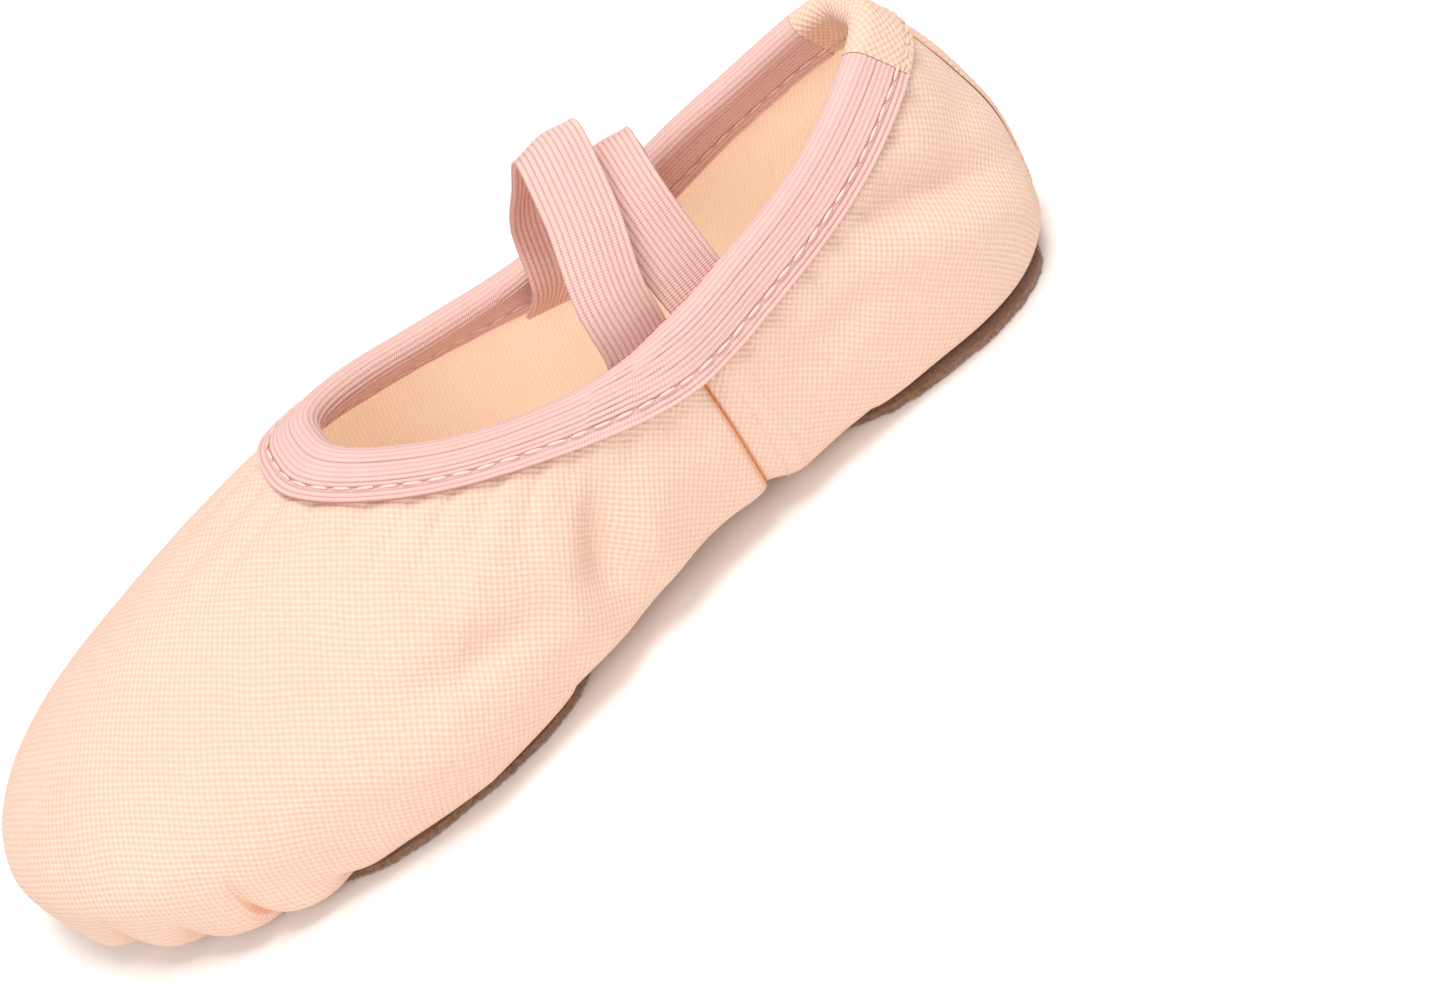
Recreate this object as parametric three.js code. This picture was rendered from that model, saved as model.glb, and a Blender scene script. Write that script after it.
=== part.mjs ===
// A left ballet slipper with a split suede sole, an elastic topline and two elastic instep straps.
// Millimetres. +X points to the toe, +Y to the wearer's left (the outer side of this left shoe), +Z up.
// The origin is on the floor, below the middle of the shoe.
//
// Every sewn layer follows one smooth shoe surface. A place on it is (sigma, v):
//   sigma  0 at the toe, 1 at the side seam, 2 at the heel back; positive outer side, negative inner side
//   v     -1 at the inner edge of the bottom, 0 at the widest outline, 1 at the topline
// A layer is the surface between two depths, measured inwards along the surface normal.
import * as THREE from 'three';

// ---------------------------------------------------------------- driving sizes: overall shape
const LENGTH = 240;
const TOE_X = LENGTH / 2;
const HEEL_X = -LENGTH / 2;
const BALL_X = TOE_X - 84;          // widest station
const SEAM_X = HEEL_X + 83;         // side seam, where vamp meets quarter
const WAIST_X = HEEL_X + 66;        // narrowest station, behind the side seam
const HEEL_SEAT_X = HEEL_X + 40;    // where the heel begins to round off
const BALL_WIDTH_OUTER = 46.6;
const BALL_WIDTH_INNER = 44.6;
const WAIST_HALF_WIDTH = 29.2;
const HEEL_HALF_WIDTH = 29.0;
const OUTLINE_HEIGHT = 15.8;        // height of the widest outline above the floor
const ARCH_RISE = 3.4;              // lift of the canvas between the two soles
const TOE_ROUNDING = { shoulder: 2.35, power: 2.05 };
const HEEL_ROUNDING = { shoulder: 2.3, power: 2.1 };

// ---------------------------------------------------------------- driving sizes: topline
const THROAT_X = TOE_X - 94.5;
const COLLAR_X = HEEL_X + 16;
const THROAT_HEIGHT = 58;
const INSTEP_HEIGHT = 49;
const SEAM_HEIGHT = 45.5;
const QUARTER_HEIGHT = 52.5;
const COLLAR_HEIGHT = 62;
const RIM_HALF_THROAT = 25;
const THROAT_TAPER = 3.5;           // the topline's half width drawn in at the throat's front
const RIM_HALF_SEAM = 25.8;
const RIM_HALF_WAIST = 24.3;
const RIM_HALF_QUARTER = 23.6;
const RIM_HALF_COLLAR = 18.5;
const RIM_SQUARENESS = 0.64;        // 1 is an ellipse, lower is squarer at the throat and the heel

// ---------------------------------------------------------------- driving sizes: layers
const GAP = 0.3;                    // between sewn layers
const LAP_GAP = 0.8;                // vamp over quarter, room for the arch to bend
const BINDING_GAP = 0.4;            // between the binding and the layers it folds over
const PAD_SEAT = 0.75;              // pad underside above the lining's flat bottom
const CANVAS = 0.8;
const LINING = 0.5;
const ELASTIC = 1.0;
const COLLAR_CANVAS = 1.1;
const SEAM_TAPE = 0.7;
const SUEDE = 1.6;
const PAD = 2.0;
const CENTRE_SLIT = 0.3;            // centre seam under the arch

// ---------------------------------------------------------------- driving sizes: trims
const BINDING_HEIGHT = 9.5;
const COLLAR_HALF_SPAN = 0.2;       // in sigma, each side of the heel back
const SEAM_LAP = 0.03;              // in sigma, quarter tucked below the vamp edge
const TAPE_HALF_SPAN = 0.062;       // in sigma, half the width of the back strip
const STRAP_WIDTH = 13.5;
const STRAP_THICK = 1.1;
const STRAP_CLEARANCE = 0.95;       // strap to the inner leg of the binding
const STRAP_LEAN = 1.8;             // further clearance of the strap by the topline
const STRAP_SPACING = [3.2, 4.3];   // between the straps, at the outer and at the inner wall

// ---------------------------------------------------------------- driving sizes: soles and pads
// A shift moves a patch sideways off the centre line, towards +Y.
const FRONT_SOLE = { rear: TOE_X - 118, length: 79, width: 76, flare: 0.08, roundness: 2.8, shift: 3.4 };
const HEEL_SOLE = { rear: HEEL_X + 6, length: 63, width: 53, flare: 0, roundness: 2.6, shift: 0.3 };
const SOLE_MARGIN = 12;             // sole overlap onto the canvas, all round
const FRONT_PAD = { rear: TOE_X - 122, length: 86, width: 60, flare: 0.14, roundness: 2.1, shift: 0 };
const HEEL_PAD = { rear: HEEL_X + 9, length: 40, width: 32, flare: -0.06, roundness: 2.2, shift: 0 };

// ---------------------------------------------------------------- derived depths and levels
const CANVAS_BOTTOM = SUEDE + GAP;
const VAMP_DEPTH = [0, CANVAS];
const QUARTER_DEPTH = [CANVAS + LAP_GAP, 2 * CANVAS + LAP_GAP];
const LINING_DEPTH = [QUARTER_DEPTH[1] + GAP, QUARTER_DEPTH[1] + GAP + LINING];
const INNER_LEG = LINING_DEPTH[1] + BINDING_GAP;
const PAD_LEVEL = CANVAS_BOTTOM + LINING_DEPTH[1] + PAD_SEAT;
const STRAP_DEPTH = INNER_LEG + ELASTIC + STRAP_CLEARANCE + STRAP_THICK / 2;

// ---------------------------------------------------------------- small maths
const clamp01 = (x) => Math.min(1, Math.max(0, x));
const ease = (x) => clamp01(x) ** 2 * (3 - 2 * clamp01(x));
const lerp = (a, b, t) => a + (b - a) * t;
const roundOff = (u, { shoulder, power }) => (1 - clamp01(u) ** shoulder) ** (1 / power);

/** A smooth curve through [x, y] stations, in rising x, held at its end values. */
function throughStations(stations) {
  const slopes = stations.map(([x, y], i) => {
    const [xa, ya] = stations[Math.max(0, i - 1)];
    const [xb, yb] = stations[Math.min(stations.length - 1, i + 1)];
    return xb === xa ? 0 : (yb - ya) / (xb - xa);
  });
  return (x) => {
    const last = stations.length - 1;
    if (x <= stations[0][0]) return stations[0][1];
    if (x >= stations[last][0]) return stations[last][1];
    const i = stations.findIndex((s, k) => k < last && x < stations[k + 1][0]);
    const h = stations[i + 1][0] - stations[i][0];
    const t = (x - stations[i][0]) / h;
    return stations[i][1] * (1 + 2 * t) * (1 - t) ** 2 + slopes[i] * h * t * (1 - t) ** 2
      + stations[i + 1][1] * t * t * (3 - 2 * t) + slopes[i + 1] * h * t * t * (t - 1);
  };
}

/** Steps from 0 to 1 inclusive. */
const steps = (count) => Array.from({ length: count + 1 }, (_, i) => i / count);

/** A polyline that is read by its share of arc length. */
class Path {
  constructor(points) {
    this.points = points;
    this.at = [0];
    for (let i = 1; i < points.length; i += 1) {
      this.at.push(this.at[i - 1] + points[i].distanceTo(points[i - 1]));
    }
  }

  get(share) {
    const target = clamp01(share) * this.at[this.at.length - 1];
    let i = 1;
    while (i < this.at.length - 1 && this.at[i] < target) i += 1;
    const t = (target - this.at[i - 1]) / Math.max(this.at[i] - this.at[i - 1], 1e-9);
    return new THREE.Vector3().lerpVectors(this.points[i - 1], this.points[i], t);
  }
}

// ---------------------------------------------------------------- the shoe surface
const centreY = throughStations([
  [HEEL_X, 0], [HEEL_SEAT_X, 0.6], [WAIST_X, 1.6], [SEAM_X, 2], [BALL_X, 0], [TOE_X - 30, -3.5], [TOE_X, -7],
]);
const rimHeight = throughStations([
  [COLLAR_X, COLLAR_HEIGHT],
  [lerp(COLLAR_X, SEAM_X, 0.43), QUARTER_HEIGHT],
  [SEAM_X + 3, SEAM_HEIGHT],
  [lerp(SEAM_X, THROAT_X, 0.52), INSTEP_HEIGHT],
  [THROAT_X, THROAT_HEIGHT],
]);
const rimHalf = throughStations([
  [COLLAR_X, RIM_HALF_COLLAR],
  [lerp(COLLAR_X, WAIST_X, 0.6), RIM_HALF_QUARTER],
  [WAIST_X, RIM_HALF_WAIST],
  [SEAM_X, RIM_HALF_SEAM],
  [lerp(SEAM_X, THROAT_X, 0.68), RIM_HALF_THROAT],
  [THROAT_X, RIM_HALF_THROAT - THROAT_TAPER],
]);

/** How far the outline has widened from the waist to the ball. */
const widening = throughStations([
  [WAIST_X, 0],
  [SEAM_X, 0.09],
  [lerp(SEAM_X, BALL_X, 0.27), 0.25],
  [lerp(SEAM_X, BALL_X, 0.67), 0.7],
  [BALL_X, 1],
]);

/** Half width of the widest outline at x, on one side of the centre line. */
function outlineHalf(x, side) {
  const ball = side > 0 ? BALL_WIDTH_OUTER : BALL_WIDTH_INNER;
  const front = lerp(WAIST_HALF_WIDTH, ball, widening(x));
  const rear = lerp(WAIST_HALF_WIDTH, HEEL_HALF_WIDTH, ease((WAIST_X - x) / (WAIST_X - HEEL_SEAT_X)));
  const half = x > WAIST_X ? front : rear;
  const toeCap = roundOff((x - BALL_X) / (TOE_X - BALL_X), TOE_ROUNDING);
  const heelCap = roundOff((HEEL_SEAT_X - x) / (HEEL_SEAT_X - HEEL_X), HEEL_ROUNDING);
  return half * toeCap * heelCap;
}

const archFront = FRONT_SOLE.rear;
const archRear = HEEL_SOLE.rear + HEEL_SOLE.length;

/** Height of the underside of the canvas where it lies flat. */
function bottomHeight(x) {
  const middle = (archFront + archRear) / 2;
  const half = (archFront - archRear) / 2;
  return CANVAS_BOTTOM + ARCH_RISE * ease(1 - Math.abs(x - middle) / half);
}

/** Half width at x of a rounded sole outline, drawn in by an inset all round. */
function soleHalf(sole, x, inset = 0) {
  const along = (x - sole.rear - sole.length / 2) / (sole.length / 2 - inset);
  const arch = Math.max(0, 1 - Math.abs(along) ** sole.roundness) ** (1 / sole.roundness);
  return (sole.width / 2 - inset) * arch * (1 + sole.flare * along);
}

const FINE = 160;                   // points of each construction curve
const VAMP_STATIONS = 42;
const QUARTER_STATIONS = 14;
const STRAP_STATIONS = 30;
const SOLE_CORNERS = 48;

function outlinePath(side, fromX, toX) {
  return steps(FINE).map((q) => {
    const x = lerp(fromX, toX, 1 - Math.cos((q * Math.PI) / 2));
    return new THREE.Vector3(x, centreY(x) + side * outlineHalf(x, side), OUTLINE_HEIGHT);
  });
}

function rimPath(side, fromAngle, toAngle) {
  const middle = (THROAT_X + COLLAR_X) / 2;
  const reach = (THROAT_X - COLLAR_X) / 2;
  return steps(FINE).map((q) => {
    const angle = lerp(fromAngle, toAngle, q);
    const x = middle + reach * Math.cos(angle);
    const y = centreY(x) + side * rimHalf(x) * Math.abs(Math.sin(angle)) ** RIM_SQUARENESS;
    return new THREE.Vector3(x, y, rimHeight(x));
  });
}

/** x of the bottom's inner edge for an outline x: straight across, then drawn in to the hole's end. */
function innerX(x, holeMiddle, holeEnd, outlineEnd) {
  const past = (x - holeMiddle) / (outlineEnd - holeMiddle);
  return past <= 0 ? x : lerp(holeMiddle, holeEnd, past);
}

/** Inner edge of the canvas bottom: round the hole hidden above a sole, then along the centre slit. */
function innerPoint(side, outlineX) {
  const front = outlineX > SEAM_X;
  const sole = front ? FRONT_SOLE : HEEL_SOLE;
  const middle = sole.rear + sole.length / 2;
  const reach = sole.length / 2 - SOLE_MARGIN;
  const x = front
    ? innerX(outlineX, middle, middle + reach, TOE_X)
    : innerX(outlineX, middle, middle - reach, HEEL_X);
  const open = soleHalf(sole, x, SOLE_MARGIN);
  const half = Math.max(open, CENTRE_SLIT / 2);
  const shift = sole.shift * (open / (sole.width / 2 - SOLE_MARGIN));
  return new THREE.Vector3(x, centreY(x) + shift + side * half, bottomHeight(x));
}

const seamAngle = Math.acos((2 * SEAM_X - THROAT_X - COLLAR_X) / (THROAT_X - COLLAR_X));

/** The outline and the rim of one side, each as a vamp path and a quarter path. */
function sideCurves(side) {
  const outlineFront = outlinePath(side, TOE_X, SEAM_X);
  const outlineRear = outlinePath(side, HEEL_X, SEAM_X).reverse();
  return {
    outline: [new Path(outlineFront), new Path(outlineRear)],
    rim: [new Path(rimPath(side, 0, seamAngle)), new Path(rimPath(side, seamAngle, Math.PI))],
  };
}
const curves = { 1: sideCurves(1), '-1': sideCurves(-1) };

function ringPoint(name, sigma) {
  const side = sigma < 0 ? -1 : 1;
  const s = Math.min(2, Math.abs(sigma));
  const [front, rear] = curves[side][name];
  return s <= 1 ? front.get(s) : rear.get(s - 1);
}

const EDGE_POWER = 3.8;             // squareness of the turn from the flat bottom into the side
const LEAN_POWER = 1.8;             // how late the side wall leans inwards

/** A point of the outermost surface. */
function surface(sigma, v) {
  const outline = ringPoint('outline', sigma);
  if (v >= 0) {
    const rim = ringPoint('rim', sigma);
    const lean = v ** LEAN_POWER;
    return new THREE.Vector3(
      lerp(outline.x, rim.x, lean),
      lerp(outline.y, rim.y, lean),
      lerp(outline.z, rim.z, v),
    );
  }
  const inner = innerPoint(sigma < 0 ? -1 : 1, outline.x);
  const turn = ((1 + v) * Math.PI) / 2;
  const out = Math.sin(turn) ** (2 / EDGE_POWER);
  const x = lerp(inner.x, outline.x, out);
  const y = lerp(inner.y, outline.y, out);
  const low = bottomHeight(x);
  return new THREE.Vector3(x, y, outline.z - (outline.z - low) * Math.cos(turn) ** (2 / EDGE_POWER));
}

/** Outward unit normal of the surface. */
function normal(sigma, v) {
  const ds = 0.012;
  const dv = 0.02;
  const along = surface(Math.min(2, sigma + ds), v).sub(surface(Math.max(-2, sigma - ds), v));
  const up = surface(sigma, Math.min(1, v + dv)).sub(surface(sigma, Math.max(-1, v - dv)));
  return along.cross(up).normalize();
}

const offsetPoint = (sigma, v, depth) => surface(sigma, v).addScaledVector(normal(sigma, v), -depth);

/** v of the lower edge of the topline binding. */
function bindingFoot(sigma) {
  const dv = 0.01;
  const wall = surface(sigma, 1).distanceTo(surface(sigma, 1 - dv)) / dv;
  return 1 - BINDING_HEIGHT / wall;
}

// ---------------------------------------------------------------- building closed skins
/**
 * A closed body from stations that each hold an outer and an inner row of points.
 * Both faces, the two long edges and the two ends are meshed, facing out.
 */
function skin(stations, material, name) {
  const rows = stations[0].outer.length;
  const positions = [];
  const push = (p) => positions.push(p.x, p.y, p.z);
  const quad = (a, b, c, d) => {
    [a, b, c, a, c, d].forEach(push);
  };
  for (let i = 0; i < stations.length - 1; i += 1) {
    const here = stations[i];
    const next = stations[i + 1];
    for (let j = 0; j < rows - 1; j += 1) {
      quad(here.outer[j], next.outer[j], next.outer[j + 1], here.outer[j + 1]);
      quad(here.inner[j], here.inner[j + 1], next.inner[j + 1], next.inner[j]);
    }
    quad(here.outer[0], here.inner[0], next.inner[0], next.outer[0]);
    quad(here.outer[rows - 1], next.outer[rows - 1], next.inner[rows - 1], here.inner[rows - 1]);
  }
  const first = stations[0];
  const last = stations[stations.length - 1];
  for (let j = 0; j < rows - 1; j += 1) {
    quad(first.outer[j], first.outer[j + 1], first.inner[j + 1], first.inner[j]);
    quad(last.outer[j], last.inner[j], last.inner[j + 1], last.outer[j + 1]);
  }
  const geometry = new THREE.BufferGeometry();
  geometry.setAttribute('position', new THREE.Float32BufferAttribute(positions, 3));
  geometry.computeVertexNormals();
  const mesh = new THREE.Mesh(geometry, material);
  mesh.name = name;
  return mesh;
}

const TURN_ROWS = [-1, -0.72, -0.5, -0.31, -0.14, 0];
const WALL_SHARES = [0.18, 0.38, 0.58, 0.79, 1];

/** v rows from the inner edge of the bottom to the topline, with one on the binding's lower edge. */
function sheetRows(sigma) {
  const foot = bindingFoot(sigma);
  return TURN_ROWS.concat(WALL_SHARES.map((share) => share * foot), [1]);
}

/** The sigma stations that all layers share, so that their facets nest. */
const GRID = steps(VAMP_STATIONS).map((q) => lerp(-1, 1, q)).concat(
  ...steps(QUARTER_STATIONS).slice(1).map((q) => [1 + q, -1 - q]),
).sort((a, b) => a - b);

/** Rising stations from one sigma to another. */
function run(from, to) {
  const clear = 0.008;
  return [from, ...GRID.filter((sigma) => sigma > from + clear && sigma < to - clear), to];
}

/** A sewn sheet between two depths, over a run of rising sigma stations. */
function sheet(name, sigmas, depthAt, material, rowsAt = sheetRows) {
  const stations = sigmas.map((sigma) => {
    const [outerDepth, innerDepth] = depthAt(sigma);
    const rows = rowsAt(sigma);
    return {
      outer: rows.map((v) => offsetPoint(sigma, v, outerDepth)),
      inner: rows.map((v) => offsetPoint(sigma, v, innerDepth)),
    };
  });
  return skin(stations, material, name);
}

/** A U-shaped binding folded over the topline, with a rounded top. */
function binding(name, sigmas, thickness, material) {
  const outerLegDepth = -BINDING_GAP;
  const middle = (outerLegDepth + INNER_LEG) / 2;
  const innerRadius = (INNER_LEG - outerLegDepth) / 2;
  const fold = (sigma, radius) => {
    const rim = surface(sigma, 1);
    const out = normal(sigma, 1);
    const up = rim.clone().sub(surface(sigma, 0.98)).normalize();
    const foot = bindingFoot(sigma);
    const arc = steps(4).map((q) => {
      const angle = q * Math.PI;
      const depth = middle - radius * Math.cos(angle);
      return rim.clone().addScaledVector(out, -depth).addScaledVector(up, GAP + radius * Math.sin(angle));
    });
    return [offsetPoint(sigma, foot, middle - radius), ...arc, offsetPoint(sigma, foot, middle + radius)];
  };
  const stations = sigmas.map((sigma) => ({
    outer: fold(sigma, innerRadius + thickness),
    inner: fold(sigma, innerRadius),
  }));
  return skin(stations, material, name);
}

/** A flat plate with a rounded sole outline. */
function plate(name, sole, level, thickness, material) {
  const shape = new THREE.Shape();
  const half = sole.length / 2;
  for (let i = 0; i < SOLE_CORNERS; i += 1) {
    const angle = (i / SOLE_CORNERS) * 2 * Math.PI;
    const x = sole.rear + half + half * Math.cos(angle);
    const y = centreY(x) + sole.shift + Math.sign(Math.sin(angle)) * soleHalf(sole, x);
    if (i === 0) shape.moveTo(x, y);
    else shape.lineTo(x, y);
  }
  shape.closePath();
  const geometry = new THREE.ExtrudeGeometry(shape, { depth: thickness, bevelEnabled: false });
  const mesh = new THREE.Mesh(geometry, material);
  mesh.position.z = level;
  mesh.name = name;
  return mesh;
}

/** sigma on one side of the shoe where the topline passes a given x. */
function rimSigma(side, x) {
  let low = 0;
  let high = 2;
  for (let i = 0; i < 40; i += 1) {
    const middle = (low + high) / 2;
    if (surface(side * middle, 1).x > x) low = middle;
    else high = middle;
  }
  return (side * (low + high)) / 2;
}

// Loops run from the outer wall to the inner wall. Each point is mm before the strap's outer end, share of the
// rim's half width, and mm above the topline at the seam.
const OVER_STRAP = {
  outerX: SEAM_X + 5.5,
  innerX: SEAM_X + 5,
  loop: [[-1.5, 0.73, 10.5], [-6, 0.485, 23.5], [-9, 0.097, 32], [-7.4, -0.35, 24.5], [-3.6, -0.675, 11.5]],
};
const UNDER_STRAP = {
  outerX: OVER_STRAP.outerX - STRAP_WIDTH - STRAP_SPACING[0],
  innerX: OVER_STRAP.innerX - STRAP_WIDTH - STRAP_SPACING[1],
  loop: [[1.6, 0.55, 9.5], [1.4, 0.34, 18.5], [0, 0.02, 23.5], [-1.6, -0.33, 18.5], [-3.2, -0.55, 8.5]],
};

/** A flat elastic ribbon sewn inside both walls and standing in a loop between them. */
function strap(name, design, material) {
  const seat = (side, x) => {
    const sigma = rimSigma(side, x);
    const foot = bindingFoot(sigma);
    return [offsetPoint(sigma, foot, STRAP_DEPTH), offsetPoint(sigma, 1, STRAP_DEPTH + STRAP_LEAN)];
  };
  const [outerFoot, outerRim] = seat(1, design.outerX);
  const [innerFoot, innerRim] = seat(-1, design.innerX);
  const loop = design.loop.map(([ahead, share, rise]) => (
    new THREE.Vector3(design.outerX + ahead, share * RIM_HALF_SEAM, SEAM_HEIGHT + rise)
  ));
  const points = [outerFoot, outerRim, ...loop, innerRim, innerFoot];
  const route = new THREE.CatmullRomCurve3(points, false, 'centripetal');
  const across = new THREE.Vector3(1, 0, 0);
  const stations = steps(STRAP_STATIONS).map((q) => {
    const point = route.getPointAt(q);
    const tangent = route.getTangentAt(q);
    const wide = across.clone().addScaledVector(tangent, -across.dot(tangent)).normalize();
    const thick = new THREE.Vector3().crossVectors(tangent, wide);
    const corner = (w, t) => point.clone()
      .addScaledVector(wide, (w * STRAP_WIDTH) / 2)
      .addScaledVector(thick, (t * STRAP_THICK) / 2);
    return { outer: [corner(1, -1), corner(-1, -1)], inner: [corner(1, 1), corner(-1, 1)] };
  });
  return skin(stations, material, name);
}

// ---------------------------------------------------------------- materials
const finish = (color, roughness) => new THREE.MeshStandardMaterial({ color, roughness, metalness: 0 });
const canvas = () => finish(0xf6d3b5, 0.85);
const lining = () => finish(0xf3d6bf, 0.8);
const elastic = () => finish(0xeac0b4, 0.7);
const suede = () => finish(0xb08a70, 0.95);
const padCloth = () => finish(0xf1e2d2, 0.9);

// ---------------------------------------------------------------- the sub-parts
const HEEL_CUT = 0.003;             // in sigma, half the gap at the centre back seam
const SEAM_CUT = 0.006;             // in sigma, between the linings at the side seam
const QUARTER_FLUSH_FROM = 1.45;    // in sigma, where the quarter begins to come out flush
const QUARTER_FLUSH_AT = 1.85;
const COLLAR_CUT = 0.006;           // in sigma, between the elastic's ends and the collar
const TAPE_TOP_CUT = 0.03;          // in v, between the tape and the collar
const TAPE_TURN_ROWS = [-0.36, -0.16, 0];
const TAPE_WALL_SHARES = [0.2, 0.4, 0.6, 0.8, 1];
const TAPE_DEPTH = [-GAP - SEAM_TAPE, -GAP];

const shoe = new THREE.Group();
shoe.add(sheet('vamp_canvas', run(-1, 1), () => VAMP_DEPTH, canvas()));
shoe.add(sheet('vamp_lining', run(-1 + SEAM_CUT, 1 - SEAM_CUT), () => LINING_DEPTH, lining()));

/** The quarter lies below the vamp at the side seam and comes out flush towards the heel. */
function quarterDepth(sigma) {
  const flush = ease((Math.abs(sigma) - QUARTER_FLUSH_FROM) / (QUARTER_FLUSH_AT - QUARTER_FLUSH_FROM));
  return QUARTER_DEPTH.map((depth) => lerp(depth, depth - QUARTER_DEPTH[0], flush));
}

const mirrored = (sigmas) => sigmas.map((sigma) => -sigma).reverse();
const lapped = run(1 - SEAM_LAP, 2 - HEEL_CUT);
const butted = run(1, 2 - HEEL_CUT);
shoe.add(sheet('quarter_canvas_outer', lapped, quarterDepth, canvas()));
shoe.add(sheet('quarter_canvas_inner', mirrored(lapped), quarterDepth, canvas()));
shoe.add(sheet('quarter_lining_outer', butted, () => LINING_DEPTH, lining()));
shoe.add(sheet('quarter_lining_inner', mirrored(butted), () => LINING_DEPTH, lining()));

/** Stations across the heel back, from the outer side to the inner side. */
const acrossHeel = (halfSpan) => [...run(2 - halfSpan, 2), ...run(-2, -2 + halfSpan).slice(1)];
const tapeRows = (sigma) => {
  const top = bindingFoot(sigma) - TAPE_TOP_CUT;
  return TAPE_TURN_ROWS.concat(TAPE_WALL_SHARES.map((share) => share * top));
};
shoe.add(sheet('heel_seam_tape', acrossHeel(TAPE_HALF_SPAN), () => TAPE_DEPTH, canvas(), tapeRows));

const elasticEnd = 2 - COLLAR_HALF_SPAN - COLLAR_CUT;
shoe.add(binding('topline_elastic', run(-elasticEnd, elasticEnd), ELASTIC, elastic()));
shoe.add(binding('heel_collar_binding', acrossHeel(COLLAR_HALF_SPAN), COLLAR_CANVAS, canvas()));

shoe.add(plate('forefoot_outsole', FRONT_SOLE, 0, SUEDE, suede()));
shoe.add(plate('heel_outsole', HEEL_SOLE, 0, SUEDE, suede()));
shoe.add(plate('forefoot_pad', FRONT_PAD, PAD_LEVEL, PAD, padCloth()));
shoe.add(plate('heel_pad', HEEL_PAD, PAD_LEVEL, PAD, padCloth()));

shoe.add(strap('strap_over', OVER_STRAP, elastic()));
shoe.add(strap('strap_under', UNDER_STRAP, elastic()));

export default shoe;
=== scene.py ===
"""A left ballet slipper: soft canvas upper, split suede sole, elastic topline and two instep straps.

Lengths are in millimetres until a mesh is made, and in metres from there on. +X points to the toe, +Y to the
wearer's left, which is the outer side, and +Z up. Every sewn layer follows one shoe surface, on which a place
is (sigma, v): sigma is 0 at the toe, 1 at the side seam and 2 at the heel back, positive on the outer side,
and v is -1 at the inner edge of the bottom, 0 at the widest outline and 1 at the topline.
"""
from __future__ import annotations

import logging
import math
from dataclasses import dataclass, field
from enum import Enum
from typing import Callable, Sequence

import bpy
import numpy as np
from mathutils import Matrix, Vector


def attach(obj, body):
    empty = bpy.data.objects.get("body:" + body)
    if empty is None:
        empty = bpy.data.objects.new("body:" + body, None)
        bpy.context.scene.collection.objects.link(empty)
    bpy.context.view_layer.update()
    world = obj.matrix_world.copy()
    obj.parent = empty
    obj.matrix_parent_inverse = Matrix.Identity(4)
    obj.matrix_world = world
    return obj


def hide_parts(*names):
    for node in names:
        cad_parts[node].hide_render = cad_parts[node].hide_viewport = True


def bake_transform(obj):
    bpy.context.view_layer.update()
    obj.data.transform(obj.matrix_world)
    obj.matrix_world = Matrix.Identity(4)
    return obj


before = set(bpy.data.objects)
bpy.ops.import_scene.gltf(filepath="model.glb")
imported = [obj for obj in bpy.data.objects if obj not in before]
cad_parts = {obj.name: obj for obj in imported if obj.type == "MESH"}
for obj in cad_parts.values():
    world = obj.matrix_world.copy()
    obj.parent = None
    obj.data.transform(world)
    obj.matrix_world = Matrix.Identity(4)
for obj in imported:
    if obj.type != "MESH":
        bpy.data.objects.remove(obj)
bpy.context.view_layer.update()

log = logging.getLogger("slipper")
Array = np.ndarray
MM = 0.001

# ------------------------------------------------------------------ up the vamp's middle, to turn its flat cut
CENTRE_LINE = ((0.5, 0), (0.5, 1))


# ------------------------------------------------------------------ small maths
def ease(x: Array) -> Array:
    """A smooth step from 0 to 1."""
    x = np.clip(x, 0.0, 1.0)
    return x * x * (3.0 - 2.0 * x)


def lerp(a: Array, b: Array, t: Array) -> Array:
    """The value a share t of the way from a to b."""
    return a + (b - a) * t


def round_off(u: Array, shoulder: float, power: float) -> Array:
    """A superelliptic fall from 1 to 0 as u goes from 0 to 1."""
    return (1.0 - np.clip(u, 0.0, 1.0) ** shoulder) ** (1.0 / power)


def bell(x: Array) -> Array:
    """A soft bump of height 1 and half width about 1."""
    return np.exp(-(x * x))


def through(stations: Sequence[tuple[float, float]]) -> Callable[[Array], Array]:
    """A smooth curve through stations, held at its end values.

    Args:
        stations: (x, y) pairs in rising x.

    Returns:
        A function of x that works on arrays.
    """
    xs, ys = np.array(stations, float).T
    slopes = np.array([
        (ys[min(i + 1, len(xs) - 1)] - ys[max(i - 1, 0)]) / (xs[min(i + 1, len(xs) - 1)] - xs[max(i - 1, 0)])
        for i in range(len(xs))
    ])

    def curve(x: Array) -> Array:
        """The curve's height at x."""
        x = np.clip(np.asarray(x, float), xs[0], xs[-1])
        i = np.clip(np.searchsorted(xs, x, side="right") - 1, 0, len(xs) - 2)
        h = xs[i + 1] - xs[i]
        t = (x - xs[i]) / h
        return (ys[i] * (1 + 2 * t) * (1 - t) ** 2 + slopes[i] * h * t * (1 - t) ** 2
                + ys[i + 1] * t * t * (3 - 2 * t) + slopes[i + 1] * h * t * t * (t - 1))

    return curve


def wander(x: Array, seed: int, octaves: int = 3) -> Array:
    """A seeded smooth random curve of about +-1 along x, with features about 1 long."""
    rng = np.random.default_rng(seed)
    total = np.zeros_like(np.asarray(x, float))
    for octave in range(octaves):
        knots = rng.uniform(-1, 1, 4096)
        place = np.asarray(x, float) * 2 ** octave + 500.0
        i = np.floor(place).astype(int)
        f = ease(place - i)
        total += lerp(knots[i % 4096], knots[(i + 1) % 4096], f) / 2 ** octave
    return total / 1.75


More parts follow.
